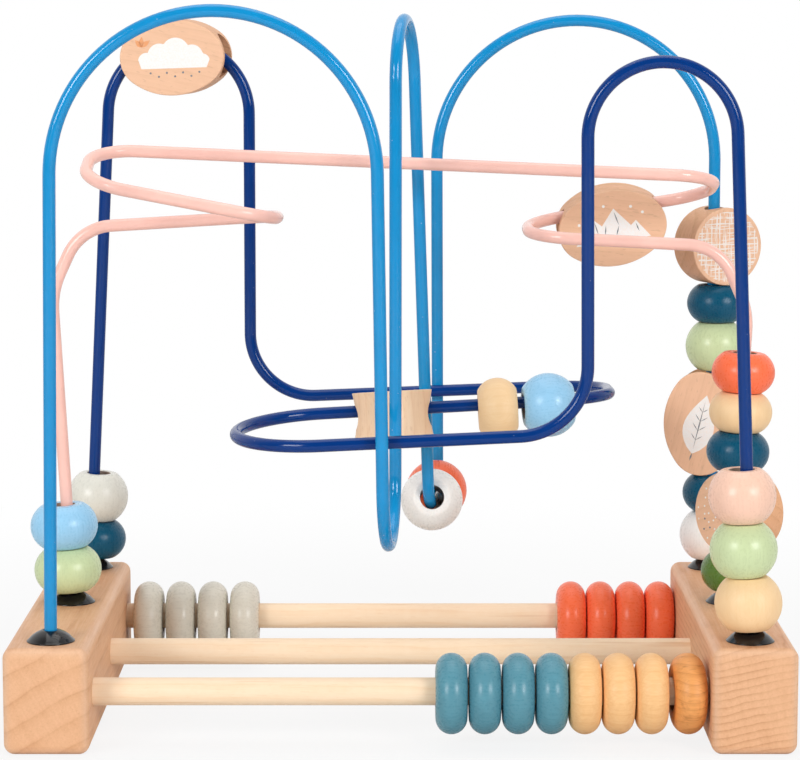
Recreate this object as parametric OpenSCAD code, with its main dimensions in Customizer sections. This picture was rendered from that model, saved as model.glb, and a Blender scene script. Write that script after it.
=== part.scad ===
// Wooden bead maze: two end blocks joined by three rods, and three bent wires that carry turned beads.
// Millimetres. X runs along the rods, Y from front to back, Z up. Origin on the floor, at the middle.

/* [Blocks] */
// Distance between the outer faces of the two blocks
span = 293; // [270:1:320]
// Width of a block, along the rods
block_w = 31.7; // [27:0.1:36]
// Length of a block, front to back
block_len = 175; // [160:1:190]
// Height of a block
block_h = 40; // [36:0.5:46]
// Radius of the rounded edges of a block
block_edge_r = 4; // [2:0.5:6]

/* [Rods and rings] */
// Diameter of a rod
rod_d = 10.4; // [8:0.2:12]
// Distance from a block's end to the axis of the rod nearest to it
rod_inset = 19; // [17:0.5:22]
// Depth of the socket that holds a rod's end
rod_socket = 9; // [6:0.5:9.5]
// Outside diameter of a ring
ring_d = 30.4; // [26:0.2:33]
// Thickness of a ring
ring_t = 12; // [9:0.2:13]
// How much wider a ring's bore is than its rod
ring_play = 2.2; // [2:0.1:2.8]
// Turn of the amber ring on its rod, in degrees
amber_turn = 4.5; // [3:0.5:5]

/* [Collars] */
// Diameter of the dome that closes a wire's hole
collar_d = 18; // [16:0.5:20]
// Height of that dome
collar_h = 5.1; // [4.5:0.1:6.5]

/* [Wires] */
// Diameter of the coated wire
wire_d = 4.8; // [4:0.1:5.4]
// Distance from a block's end to the axis of the wire's hole nearest to it
wire_inset = 15.5; // [14.5:0.25:17]
// Distance from a block's outer face to the axes of its wire holes
wire_side = 16.5; // [14:0.25:18]
// Depth of the hole that holds a wire's end
wire_sink = 13; // [9:0.5:14]
// Height of the light wire's front arch above the blocks
light_front_rise = 232.5; // [215:0.5:245]
// Height of the light wire's middle arch above the blocks
light_middle_rise = 229; // [215:1:245]
// Height of the light wire's back arch above the blocks
light_back_rise = 228.5; // [222:0.5:245]
// Height of the light wire's front dip above the blocks
light_front_dip = 32; // [24:1:50]
// Height of the light wire's back dip above the blocks
light_back_dip = 33.5; // [26:0.5:50]
// Bend radius of the back dip, which holds two balls
back_dip_r = 12.5; // [12:0.25:13]
// Height of the dark wire's arches above the blocks
dark_arch_rise = 219.5; // [205:0.5:235]
// Mean height of the dark wire's level strands above the blocks
dark_strand_rise = 76; // [68:1:90]
// Bend radius where the dark wire turns from a leg to a strand
dark_leg_r = 26; // [20:0.5:32]
// Bend radius of the dark wire's right turn
dark_right_r = 26; // [24:0.5:29]
// Bend radius of the dark wire's left turn
dark_left_r = 35; // [28:0.5:36]
// Height of the pink wire's top strand above the blocks
pink_rise = 179; // [168:1:195]
// Bend radius where the pink wire leaves a leg
pink_leg_r = 45; // [35:1:55]
// Bend radius where the pink wire meets a strand
pink_strand_r = 20; // [16:0.5:22]
// Bend radius of the pink wire's turns
pink_turn_r = 17; // [15:0.5:18]

/* [Beads] */
// Diameter of a ball
ball_d = 25.2; // [23:0.2:26]
// Length of a ball along its bore
ball_h = 19.9; // [18.2:0.1:20.6]
// Diameter of a flat bead
flat_d = 24.8; // [22:0.2:27]
// Length of a flat bead along its bore
flat_h = 15.5; // [13:0.25:17]
// Diameter of a wide bead
wide_d = 26.5; // [24:0.25:29]
// Length of a wide bead along its bore
wide_h = 17.2; // [14:0.2:19]
// How much wider a bead's bore is than the wire
bead_play = 4.8; // [4.2:0.1:5.2]
// Gap between neighbours on a wire
bead_gap = 0.25; // [0.2:0.05:0.4]

/* [Discs and spool] */
// Diameter of a round disc
round_d = 32; // [28:0.5:34]
// Thickness of a round disc
round_t = 17; // [14:0.5:19]
// How much wider a round disc's bore is than the wire
round_play = 6.4; // [5:0.2:7]
// Length of an oval disc, along its slot
oval_l = 43.6; // [41:0.2:45]
// Width of an oval disc
oval_w = 31; // [29:0.5:34]
// Thickness of an oval disc
oval_t = 16.5; // [15:0.5:19]
// Height of the slot through an oval disc
slot_h = 18; // [17.4:0.1:19]
// Width of the slot through an oval disc
slot_w = 12; // [11.4:0.1:12.6]
// Diameter of the spool's ends
spool_d = 31.5; // [28:0.5:34]
// Height of the spool
spool_h = 19; // [17:0.5:22]
// Depth of the spool's waist
spool_waist = 1.2; // [0.6:0.1:2]
// How much wider the spool's bore is than the wire
spool_play = 5.2; // [4.4:0.2:6]

/* [Hidden] */
$fn = 64;
wire_fn = 32;
overrun = 1;
fit = 0.05;
hang_gap = 0.3;
joint_half = 0.5;
joint_lip = 0.05;
joint_gap = 0.1;
knee_l = 3;
knee_rise = 2.8;

// Blocks, rods and posts
inner_x = span / 2 - block_w;
block_x = span / 2 - block_w / 2;
post_x = span / 2 - wire_side;
wire_row = block_len / 2 - wire_inset;
rod_row = block_len / 2 - rod_inset;
rod_z = block_h / 2;
rod_l = 2 * (inner_x + rod_socket - fit);
foot_z = block_h - wire_sink;
knee_z = block_h + collar_h + knee_rise;
rows = [-1, 0, 1];

// Rings on the rods
ring_bore = rod_d + ring_play;
ring_z = rod_z - ring_play / 2 + hang_gap;
grey_start = 3.2;
grey_gap = 1.4;
coral_start = 0.3;
coral_gap = 0.3;
front_start = 0.3;
front_gap = 0.45;
amber_half = (ring_t * cos(amber_turn) + ring_d * sin(amber_turn)) / 2;
amber_x = inner_x - front_start - amber_half;

// Collars, which are spherical caps, and the bores of the beads
collar_r = (pow(collar_d / 2, 2) + pow(collar_h, 2)) / (2 * collar_h);
bead_bore = wire_d + bead_play;
bead_slack = bead_play / 2 - hang_gap;
round_slack = round_play / 2 - hang_gap;

// Light wire
light_x_shares = [-1, -1, -0.98, -0.072, -0.048, -0.0155, -0.014, 0.037, 0.088, 0.12, 0.114, 1, 1];
light_y_shares = [-1, -1, -1, -1, -1, -0.333, -0.333, 0.333, 0.333, 1, 1, 1, 1];
light_rises = [
    light_front_rise, light_front_rise, light_front_dip, light_front_dip, light_middle_rise,
    light_middle_rise, light_back_dip, light_back_dip, light_back_rise, light_back_rise
];
light_z = concat([foot_z, knee_z], [for (rise = light_rises) block_h + rise], [foot_z]);
light_route = route(light_x_shares, light_y_shares, light_z);
light_bends = concat(
    [knee_bend(light_route, 1)],
    [for (i = [1 : 6]) span],
    [back_dip_r, back_dip_r, span, span]
);

// Dark wire
dark_x_shares = [-1, -1, -0.915, -0.479, -0.479, 0.644, 0.644, -0.483, -0.483, 0.534, 0.524, 0.938, 1, 1];
dark_y_shares = [1, 1, 0.97, 0.96, 0.915, 0.915, 0, 0, -0.915, -0.915, -0.96, -0.97, -1, -1];
dark_strand_shares = [0.957, 1.031, 1.075, 0.968, 0.932, 1.014];
dark_right_arch_share = 0.975;
dark_z = concat(
    [foot_z, knee_z, block_h + dark_arch_rise, block_h + dark_arch_rise],
    [for (share = dark_strand_shares) block_h + dark_strand_rise * share],
    [for (i = [1 : 2]) block_h + dark_arch_rise * dark_right_arch_share],
    [knee_z, foot_z]
);
dark_route = route(dark_x_shares, dark_y_shares, dark_z);
dark_bends = [
    knee_bend(dark_route, 1), span, span, dark_leg_r, dark_right_r, dark_right_r,
    dark_left_r, dark_left_r, dark_leg_r, span, span, knee_bend(dark_route, 12)
];

// Pink wire
pink_x_shares = [
    -1, -1, -1.049, -0.96, -0.364, -0.364, -0.92, -0.92,
    0.95, 0.95, 0.39, 0.39, 0.959, 1.045, 1, 1
];
pink_y_shares = [0, 0, 0, 0, 0, -0.555, -0.555, 0, 0, 0.555, 0.555, 0, 0, 0, 0, 0];
pink_strand_shares = [0.69, 0.83, 0.856, 0.864, 0.942, 1, 0.94, 0.888, 0.825, 0.81, 0.789, 0.647];
pink_z = concat(
    [foot_z, knee_z],
    [for (share = pink_strand_shares) block_h + pink_rise * share],
    [knee_z, foot_z]
);
pink_route = route(pink_x_shares, pink_y_shares, pink_z);
pink_bends = concat(
    [knee_bend(pink_route, 1), pink_leg_r, pink_strand_r],
    [for (i = [1 : 8]) pink_turn_r],
    [pink_strand_r, pink_leg_r, knee_bend(pink_route, 14)]
);

// Stacks on the posts, from the collar up
left_middle = [wide_h, wide_h];
left_back = [flat_h, ball_h];
right_front = [ball_h, ball_h, ball_h];
right_middle = [flat_h, round_d, flat_h, flat_h, flat_h];
right_back = [ball_h, flat_h, oval_l, ball_h, flat_h, round_d];
flat_end_share = 0.62;
ball_end_share = 0.95;

// How far each piece of a stack leans to one side within its play
left_middle_shares = [-0.63, -0.77];
left_back_shares = [0.9, 0.9];
right_front_shares = [-0.3, -0.9, -0.9];
right_middle_shares = [0.5, 0.75, 0, 0, 0];
right_back_shares = [0, 0.36, -0.506, 0.72, 0.81, 0.55];
dotted_turn = -50;
hatched_turn = 23;
upright_turn = -16;

// Pieces on the dark wire's middle strand, which runs from right to left
strand_start = dark_route[6];
strand_end = dark_route[7];
strand_l = norm(strand_start - strand_end);
strand_dir = unit(strand_start - strand_end);
strand_ball_share = 0.1755;
strand_ball_turn = 5;
strand_ball_shift = 0.5;
strand_ball_drop_share = 0.75;
strand_bead_gap = 2.2;
spool_share = 0.592;
spool_roll = -8;

// Oval discs on the dark wire's left arch and on the pink wire's right loop
slot_slack = (slot_h - wire_d) / 2 - hang_gap;
arch_r = bend_r(dark_route, dark_bends, 2);
arch_centre = dark_route[3] - heading(dark_route, 2) * arch_r - [0, 0, arch_r];
arch_hang_share = 0.94;
arch_disc_turn = 9.2;
arch_disc_swing = -2;
loop_start = pink_route[10];
loop_end = pink_route[9];
loop_hang_share = 0.985;
loop_disc_share = 0.459;
loop_disc_roll = 8;
oval_end_share = 0.4;
oval_end_r = oval_w * oval_end_share;

// Balls in the light wire's back dip
dip_front = light_route[8];
dip_back = light_route[9];
dip_ball_tilt = 15;
dip_lift_share = 0.3;
dip_shift_shares = [0.05, 0.08];

// Colours
beech = "#EBB48C";
maple = "#FADCBE";
black = "#1E1C1C";
light_blue = "#1999D2";
dark_blue = "#023A85";
pink = "#FABBAC";
grey = "#BEB6A6";
coral = "#F36441";
dusty_teal = "#488091";
natural = "#ECB676";
amber = "#D78C46";
teal = "#005069";
pale_green = "#CDDCA5";
pale_blue = "#96CDF0";
white = "#EBE6E1";
pale_pink = "#F5CDB9";
moss = "#557328";

// Colours of the stacks, from the collar up
left_middle_colours = [pale_green, pale_blue];
left_back_colours = [teal, white];
right_front_colours = [natural, pale_green, pale_pink];
right_middle_colours = [moss, beech, teal, natural, coral];
right_back_colours = [white, teal, beech, pale_green, teal, beech];
front_colours = concat([amber], [for (i = [1 : 3]) natural], [for (i = [1 : 4]) dusty_teal]);

function unit(v) = v / norm(v);

function sum_to(list, n) = n <= 0 ? 0 : list[n - 1] + sum_to(list, n - 1);

// Route points from shares of the post's place and the row's place, and heights
function route(x_shares, y_shares, heights) =
    [for (i = [0 : len(heights) - 1]) [post_x * x_shares[i], wire_row * y_shares[i], heights[i]]];

// Placing matrix from three axes and a point
function placed(x, y, z, at) = [
    [x[0], y[0], z[0], at[0]],
    [x[1], y[1], z[1], at[1]],
    [x[2], y[2], z[2], at[2]],
    [0, 0, 0, 1]
];

// Placing matrix whose Z lies along a direction; X points down where the direction is level along X
function along(dir, at) =
    let (hint = norm(cross([0, 1, 0], dir)) > 0.5 ? [0, 1, 0] : [1, 0, 0])
    let (x = unit(cross(hint, dir)))
    placed(x, cross(dir, x), dir, at);

// Direction from one route point to the next
function heading(route, i) = unit(route[i + 1] - route[i]);

// Angle by which the wire turns at a route point
function turn(route, i) = acos(heading(route, i - 1) * heading(route, i));

// A bend's straight setback for each unit of its radius
function setback_share(route, i) = i <= 0 || i >= len(route) - 1 ? 0 : tan(turn(route, i) / 2);

// Radius at which the bends at both ends of one run just meet
function meeting_r(route, i, j) =
    norm(route[j] - route[i]) / (setback_share(route, i) + setback_share(route, j));

// Radius of the bend at a route point: the wanted one, limited by the runs on both sides
function bend_r(route, bends, i) =
    min(bends[i - 1], meeting_r(route, i, i - 1), meeting_r(route, i, i + 1));

// Radius of the slight bend where a leg begins to lean, from that bend's length
function knee_bend(route, i) = knee_l / (2 * setback_share(route, i));

// Straight length that a bend takes up on each side of its route point
function setback(route, bends, i) =
    i <= 0 || i >= len(route) - 1 ? 0 : bend_r(route, bends, i) * setback_share(route, i);

// Height of the collar's dome at a distance from its axis
function dome_z(r) = block_h + collar_h - collar_r + sqrt(pow(collar_r, 2) - pow(r, 2));

// Share of a bead's diameter that its flat ends take, kept below that of a true sphere of its length
function end_share(d, h) = min(flat_end_share, ball_end_share * sqrt(1 - pow(h / d, 2)));

// Short sleeve that joins two lengths of wire end to end
module wire_joint(dir, at, length) {
    multmatrix(along(dir, at))
        cylinder(d = wire_d + 2 * joint_lip, h = length + 2 * joint_half, center = true, $fn = wire_fn);
}

// Straight run of a wire from one route point towards the next, with the joints at its ends
module wire_run(route, bends, i) {
    dir = heading(route, i);
    low = route[i] + dir * setback(route, bends, i);
    high = route[i + 1] - dir * setback(route, bends, i + 1);
    length = (high - low) * dir;
    low_gap = i == 0 ? 0 : joint_gap;
    high_gap = i == len(route) - 2 ? 0 : joint_gap;
    if (length > 4 * joint_half) {
        multmatrix(along(dir, low + dir * low_gap))
            cylinder(d = wire_d, h = length - low_gap - high_gap, $fn = wire_fn);
        if (i > 0)
            wire_joint(dir, low, 0);
        if (i < len(route) - 2)
            wire_joint(dir, high, 0);
    } else {
        wire_joint(dir, (low + high) / 2, abs(length));
    }
}

// Bend of a wire at a route point, held short of the joints' middles
module wire_bend(route, bends, i) {
    into = heading(route, i - 1);
    out = heading(route, i);
    r = bend_r(route, bends, i);
    axis = unit(cross(into, out));
    centre = route[i] + unit(out - into) * r / cos(turn(route, i) / 2);
    gap_turn = asin(joint_gap / r);
    multmatrix(placed(cross(into, axis), into, axis, centre))
        rotate([0, 0, gap_turn])
            rotate_extrude(angle = turn(route, i) - 2 * gap_turn)
                translate([r, 0])
                    circle(d = wire_d, $fn = wire_fn);
}

// Whole wire along a route
module wire(route, bends) {
    union() {
        for (i = [0 : len(route) - 2])
            wire_run(route, bends, i);
        for (i = [1 : len(route) - 2])
            wire_bend(route, bends, i);
    }
}

// Rectangle with rounded corners, centred
module rounded_rectangle(w, h, r) {
    square([w - 2 * r, h], center = true);
    square([w, h - 2 * r], center = true);
    for (x = [-1, 1], y = [-1, 1])
        translate([x * (w / 2 - r), y * (h / 2 - r)])
            circle(r = r);
}

// Block with every edge rounded, standing on the floor at the origin
module block_blank() {
    translate([0, 0, block_h / 2])
        intersection() {
            linear_extrude(block_h, center = true)
                rounded_rectangle(block_w, block_len, block_edge_r);
            rotate([90, 0, 0])
                linear_extrude(block_len, center = true)
                    rounded_rectangle(block_w, block_h, block_edge_r);
            rotate([90, 0, 90])
                linear_extrude(block_w, center = true)
                    rounded_rectangle(block_len, block_h, block_edge_r);
        }
}

// End block with its rod sockets and wire holes; side is -1 for the left one and 1 for the right one
module end_block(side) {
    color(beech)
        difference() {
            translate([side * block_x, 0, 0])
                block_blank();
            for (row = rows) {
                translate([side * inner_x, row * rod_row, rod_z])
                    rotate([0, side * 90, 0])
                        translate([0, 0, -overrun])
                            cylinder(d = rod_d + 2 * fit, h = rod_socket + overrun);
                translate([side * post_x, row * wire_row, foot_z - fit])
                    cylinder(d = wire_d + 2 * fit, h = wire_sink + fit + overrun);
            }
        }
}

module rod(row) {
    color(maple)
        translate([0, row * rod_row, rod_z])
            rotate([0, 90, 0])
                cylinder(d = rod_d, h = rod_l, center = true);
}

// Black dome with a bore for the wire
module collar(side, row) {
    color(black)
        translate([side * post_x, row * wire_row, block_h])
            rotate_extrude()
                intersection() {
                    translate([0, collar_h - collar_r])
                        circle(r = collar_r);
                    translate([wire_d / 2 + fit, 0])
                        square([collar_d, collar_h]);
                }
}

module light_wire() {
    color(light_blue)
        wire(light_route, light_bends);
}

module dark_wire() {
    color(dark_blue)
        wire(dark_route, dark_bends);
}

module pink_wire() {
    color(pink)
        wire(pink_route, pink_bends);
}

// Turned bead on the Z axis, flat at both ends and bulging to its diameter
module bead(d, h) {
    drop = d / 2 * (1 - end_share(d, h));
    bulge_r = (pow(drop, 2) + pow(h / 2, 2)) / (2 * drop);
    rotate_extrude()
        intersection() {
            translate([d / 2 - bulge_r, 0])
                circle(r = bulge_r);
            translate([bead_bore / 2, -h / 2])
                square([d / 2, h]);
        }
}

// Ring on the Z axis with a fully rounded rim
module ring() {
    rotate_extrude()
        intersection() {
            union() {
                translate([0, -ring_t / 2])
                    square([(ring_d - ring_t) / 2, ring_t]);
                translate([(ring_d - ring_t) / 2, 0])
                    circle(d = ring_t);
            }
            translate([ring_bore / 2, -ring_t / 2])
                square([ring_d / 2, ring_t]);
        }
}

// Ring hung on a rod
module hung_ring(x, row, angle) {
    translate([x, row * rod_row, ring_z])
        rotate([0, 90, angle])
            ring();
}

module grey_ring(i) {
    color(grey)
        hung_ring(-inner_x + grey_start + ring_t / 2 + i * (ring_t + grey_gap), 1, 0);
}

module coral_ring(i) {
    color(coral)
        hung_ring(inner_x - coral_start - ring_t / 2 - i * (ring_t + coral_gap), 1, 0);
}

// Front row, counted from the right: the turned amber ring, three natural ones and four dusty teal ones
module front_ring(i) {
    row_x = amber_x - amber_half - front_gap - ring_t / 2 - (i - 1) * (ring_t + front_gap);
    color(front_colours[i])
        hung_ring(i == 0 ? amber_x : row_x, -1, i == 0 ? amber_turn : 0);
}

// Disc with flat faces to front and back and a bore along Z
module round_disc() {
    difference() {
        rotate([90, 0, 0])
            cylinder(d = round_d, h = round_t, center = true);
        cylinder(d = wire_d + round_play, h = round_d + 2 * overrun, center = true);
    }
}

// Oval of four arcs that meet smoothly, long along Y
module oval() {
    end_y = oval_l / 2 - oval_end_r;
    half_w = oval_w / 2;
    side_r = (pow(end_y, 2) + pow(half_w, 2) - pow(oval_end_r, 2)) / (2 * (half_w - oval_end_r));
    meet_y = end_y * side_r / (side_r - oval_end_r);
    intersection() {
        translate([half_w - side_r, 0])
            circle(r = side_r);
        translate([side_r - half_w, 0])
            circle(r = side_r);
        square([oval_w, 2 * meet_y], center = true);
    }
    for (end = [-1, 1])
        translate([0, end * end_y])
            circle(r = oval_end_r);
}

// Slot section with round ends, long along X
module obround(l, w) {
    square([l - w, w], center = true);
    for (end = [-1, 1])
        translate([end * (l - w) / 2, 0])
            circle(d = w);
}

// Oval disc with flat faces to front and back, long along Z, with a slot along Z
module oval_disc() {
    difference() {
        rotate([90, 0, 0])
            linear_extrude(oval_t, center = true)
                oval();
        linear_extrude(oval_l + 2 * overrun, center = true)
            obround(slot_h, slot_w);
    }
}

// Spool on the Z axis with a hollow waist and a cross bore along X
module spool() {
    waist_r = (pow(spool_h / 2, 2) + pow(spool_waist, 2)) / (2 * spool_waist);
    difference() {
        rotate_extrude()
            difference() {
                translate([0, -spool_h / 2])
                    square([spool_d / 2, spool_h]);
                translate([spool_d / 2 - spool_waist + waist_r, 0])
                    circle(r = waist_r);
            }
        rotate([0, 90, 0])
            cylinder(d = wire_d + spool_play, h = spool_d + 2 * overrun, center = true);
    }
}

// Children placed at one level of a stack, a shift to the right of its leg; the leg runs from low to high.
// The lowest bead, itself shifted by foot_shift, rests its bore's edge on the collar.
module stacked(low, high, heights, i, shift, foot_shift) {
    dir = unit(high - low);
    seat_z = dome_z(bead_bore / 2 - abs(foot_shift)) + bead_gap;
    seat = low + dir * (seat_z - low[2]) / dir[2];
    level = sum_to(heights, i) + i * bead_gap + heights[i] / 2;
    multmatrix(along(dir, seat + dir * level))
        translate([shift, 0, 0])
            children();
}

module left_middle_bead(i) {
    shifts = left_middle_shares * bead_slack;
    color(left_middle_colours[i])
        stacked(pink_route[1], pink_route[2], left_middle, i, shifts[i], shifts[0])
            bead(wide_d, wide_h);
}

module left_back_bead(i) {
    shifts = left_back_shares * bead_slack;
    color(left_back_colours[i])
        stacked(dark_route[1], dark_route[2], left_back, i, shifts[i], shifts[0])
            bead(i == 0 ? flat_d : ball_d, left_back[i]);
}

module right_front_bead(i) {
    shifts = right_front_shares * bead_slack;
    color(right_front_colours[i])
        stacked(dark_route[12], dark_route[11], right_front, i, shifts[i], shifts[0])
            bead(ball_d, ball_h);
}

// Right middle stack: a flat bead, the dotted round disc, then three flat beads
module right_middle_bead(i) {
    slack = i == 1 ? round_slack : bead_slack;
    foot_shift = right_middle_shares[0] * bead_slack;
    color(right_middle_colours[i])
        stacked(pink_route[14], pink_route[13], right_middle, i, right_middle_shares[i] * slack, foot_shift)
            if (i == 1)
                rotate([0, 0, dotted_turn])
                    round_disc();
            else
                bead(flat_d, flat_h);
}

// Right back stack: two beads, the upright oval disc, two beads and the hatched round disc
module right_back_bead(i) {
    share = right_back_shares[i];
    slack = i == 2 ? slot_slack : i == 5 ? round_slack : bead_slack;
    color(right_back_colours[i])
        stacked(light_route[12], light_route[11], right_back, i, i == 2 ? 0 : share * slack, 0)
            if (i == 2)
                rotate([0, 0, upright_turn])
                    translate([share * slack, 0, 0])
                        oval_disc();
            else if (i == 5)
                rotate([0, 0, hatched_turn])
                    round_disc();
            else
                bead(right_back[i] == ball_h ? ball_d : flat_d, right_back[i]);
}

// Children hung on the middle strand: a distance from its right end, a drop below it and a shift behind it
module on_strand(distance, drop, shift, roll) {
    multmatrix(along(strand_dir, strand_start - strand_dir * distance))
        rotate([0, 0, roll])
            translate([drop, shift, 0])
                children();
}

module strand_ball() {
    color(pale_blue)
        on_strand(strand_ball_share * strand_l, strand_ball_drop_share * bead_slack, strand_ball_shift, 0)
            rotate([-strand_ball_turn, 0, 0])
                bead(ball_d, ball_h);
}

module strand_bead() {
    distance = strand_ball_share * strand_l + (ball_h + flat_h) / 2 + strand_bead_gap;
    color(natural)
        on_strand(distance, bead_slack, 0, 0)
            bead(flat_d, flat_h);
}

module strand_spool() {
    color(beech)
        on_strand(spool_share * strand_l, spool_play / 2 - hang_gap, 0, spool_roll)
            rotate([0, -90, 0])
                spool();
}

// Oval disc hung near the top of the dark wire's left arch
module arch_disc() {
    color(beech)
        translate(arch_centre)
            rotate([0, 90 + arch_disc_swing, 0])
                translate([arch_hang_share * slot_slack - arch_r, 0, 0])
                    rotate([arch_disc_turn, 0, 0])
                        oval_disc();
}

// Oval disc hung on the pink wire's right loop
module loop_disc() {
    dir = unit(loop_end - loop_start);
    color(beech)
        multmatrix(along(dir, loop_start + (loop_end - loop_start) * loop_disc_share))
            rotate([0, 0, loop_disc_roll])
                translate([loop_hang_share * slot_slack, 0, 0])
                    oval_disc();
}

// Ball in the back dip, to the front or to the back of its middle
module dip_ball(i) {
    side = [-1, 1][i];
    half = (ball_h * cos(dip_ball_tilt) + bead_gap) / 2;
    away = half + ball_d / 2 * end_share(ball_d, ball_h) * sin(dip_ball_tilt);
    color([white, coral][i])
        translate((dip_front + dip_back) / 2 + unit(dip_back - dip_front) * side * away)
            translate([dip_shift_shares[i] * bead_play, 0, dip_lift_share * bead_play])
                rotate([90 + side * dip_ball_tilt, 0, 0])
                    bead(ball_d, ball_h);
}

end_block(-1);  // left_block
end_block(1);  // right_block
rod(-1);  // front_rod
rod(0);  // middle_rod
rod(1);  // back_rod
for (i = [0 : 2]) {
    row = ["front", "middle", "back"][i];
    collar(-1, rows[i]);
    collar(1, rows[i]);
}
light_wire();
dark_wire();
pink_wire();
for (i = [0 : 3]) {
    grey_ring(i);
    coral_ring(i);
}
for (i = [0 : len(front_colours) - 1])
    front_ring(i);
for (i = [0 : len(left_middle) - 1])
    left_middle_bead(i);
for (i = [0 : len(left_back) - 1])
    left_back_bead(i);
for (i = [0 : len(right_front) - 1])
    right_front_bead(i);
for (i = [0 : len(right_middle) - 1])
    right_middle_bead(i);
for (i = [0 : len(right_back) - 1])
    right_back_bead(i);
strand_ball();
strand_bead();
strand_spool();
arch_disc();
loop_disc();
dip_ball(0);  // dip_ball_front
dip_ball(1);  // dip_ball_back
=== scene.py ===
"""Bead maze: two beech blocks, three rods with rings, and three bent wires with beads and discs."""
import logging
import math
import random
from dataclasses import dataclass, replace
from enum import Enum

import bmesh
import bpy
from mathutils import Matrix, Vector


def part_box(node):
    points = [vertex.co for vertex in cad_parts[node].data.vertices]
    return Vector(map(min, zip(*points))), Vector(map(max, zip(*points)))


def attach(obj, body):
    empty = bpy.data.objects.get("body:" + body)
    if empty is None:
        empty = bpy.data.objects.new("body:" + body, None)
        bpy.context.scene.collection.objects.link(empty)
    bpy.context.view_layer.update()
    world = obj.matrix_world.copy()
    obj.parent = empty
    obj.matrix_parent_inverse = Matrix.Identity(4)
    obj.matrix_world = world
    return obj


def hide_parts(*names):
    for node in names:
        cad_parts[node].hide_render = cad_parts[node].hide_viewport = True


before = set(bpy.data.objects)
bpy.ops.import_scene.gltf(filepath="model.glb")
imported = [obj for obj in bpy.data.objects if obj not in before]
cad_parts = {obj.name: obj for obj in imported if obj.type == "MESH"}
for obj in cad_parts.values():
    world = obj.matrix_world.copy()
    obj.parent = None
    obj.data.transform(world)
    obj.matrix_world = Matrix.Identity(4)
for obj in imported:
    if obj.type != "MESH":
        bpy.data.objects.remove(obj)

LOG = logging.getLogger("bead_maze")
MM = 0.001

Point = tuple[float, float]
Triple = tuple[float, float, float]
Range = tuple[float, ...]
Row = list[bmesh.types.BMVert]
Socket = bpy.types.NodeSocket
Sockets = bpy.types.bpy_prop_collection
Value = float | tuple | Socket


def srgb(code: str) -> tuple[float, float, float, float]:
    """Turn a written colour into linear light.

    Args:
        code: Six hexadecimal digits after a hash.

    Returns:
        Linear red, green and blue, and full alpha.
    """
    parts = [int(code[i:i + 2], 16) / 255 for i in (1, 3, 5)]
    linear = [p / 12.92 if p <= 0.04045 else ((p + 0.055) / 1.055) ** 2.4 for p in parts]
    return (linear[0], linear[1], linear[2], 1.0)


class Graph:
    """Short calls for building one node tree."""

    def __init__(self, tree: bpy.types.NodeTree) -> None:
        """Keep the tree that the calls add to."""
        self.tree = tree

    def add(self, kind: str, inputs: dict | None = None, **settings: object) -> bpy.types.Node:
        """Add a node.

        Args:
            kind: Node type without its ShaderNode prefix, or a full Node type name.
            inputs: Values or sockets by input name or index.
            settings: Properties of the node.

        Returns:
            The new node.
        """
        node = self.tree.nodes.new(kind if kind.startswith("Node") else "ShaderNode" + kind)
        for name, value in settings.items():
            setattr(node, name, value)
        for name, value in (inputs or {}).items():
            self.put(node.inputs[name], value)
        return node

    def put(self, target: Socket, value: Value) -> None:
        """Link a socket to an input, or set the input's own value."""
        if isinstance(value, bpy.types.NodeSocket):
            self.tree.links.new(value, target)
        else:
            target.default_value = value

    def math(self, operation: str, a: Value, b: Value = 0.0, clamp: bool = False) -> Socket:
        """Place a Math node and return its result."""
        return self.add("Math", {0: a, 1: b}, operation=operation, use_clamp=clamp).outputs[0]

    def times(self, a: Value, b: Value) -> Socket:
        """Multiply two values and return the product."""
        return self.math("MULTIPLY", a, b)

    def plus(self, first: Value, *more: Value) -> Socket:
        """Add values up in order and return the sum."""
        for value in more:
            first = self.math("ADD", first, value)
        return first

    def mix(self, factor: Value, a: Value, b: Value, blend: str = "MIX") -> Socket:
        """Place a colour Mix node and return its result."""
        inputs = {0: factor, 6: a, 7: b}
        return self.add("Mix", inputs, data_type="RGBA", blend_type=blend).outputs[2]

    def noise(self, vector: Value, scale: float, detail: float = 2.0) -> Socket:
        """Place a Noise texture and return its value."""
        inputs = {"Vector": vector, "Scale": scale, "Detail": detail}
        return self.add("TexNoise", inputs).outputs["Fac"]

    def spread(self, value: Value, low: float, high: float,
               to_low: float = 0.0, to_high: float = 1.0) -> Socket:
        """Map a value smoothly from one range to another and return the result."""
        inputs = {"Value": value, "From Min": low, "From Max": high,
                  "To Min": to_low, "To Max": to_high}
        return self.add("MapRange", inputs, interpolation_type="SMOOTHSTEP").outputs["Result"]

    def stretched(self, vector: Value, scale: Triple) -> Socket:
        """Scale a vector by its axes and return the result."""
        return self.add("VectorMath", {0: vector, 1: scale}, operation="MULTIPLY").outputs[0]

    def moved(self, vector: Value, by: Value) -> Socket:
        """Shift a vector and return the result."""
        return self.add("VectorMath", {0: vector, 1: by}, operation="ADD").outputs[0]

    def joined(self, x: Value, y: Value, z: Value) -> Socket:
        """Join three values into a vector and return it."""
        return self.add("CombineXYZ", {0: x, 1: y, 2: z}).outputs[0]

    def shaded(self, colour: Value, level: Socket) -> Socket:
        """Multiply a colour by a level of light and return the result."""
        return self.mix(1.0, colour, self.joined(level, level, level), "MULTIPLY")


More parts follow.
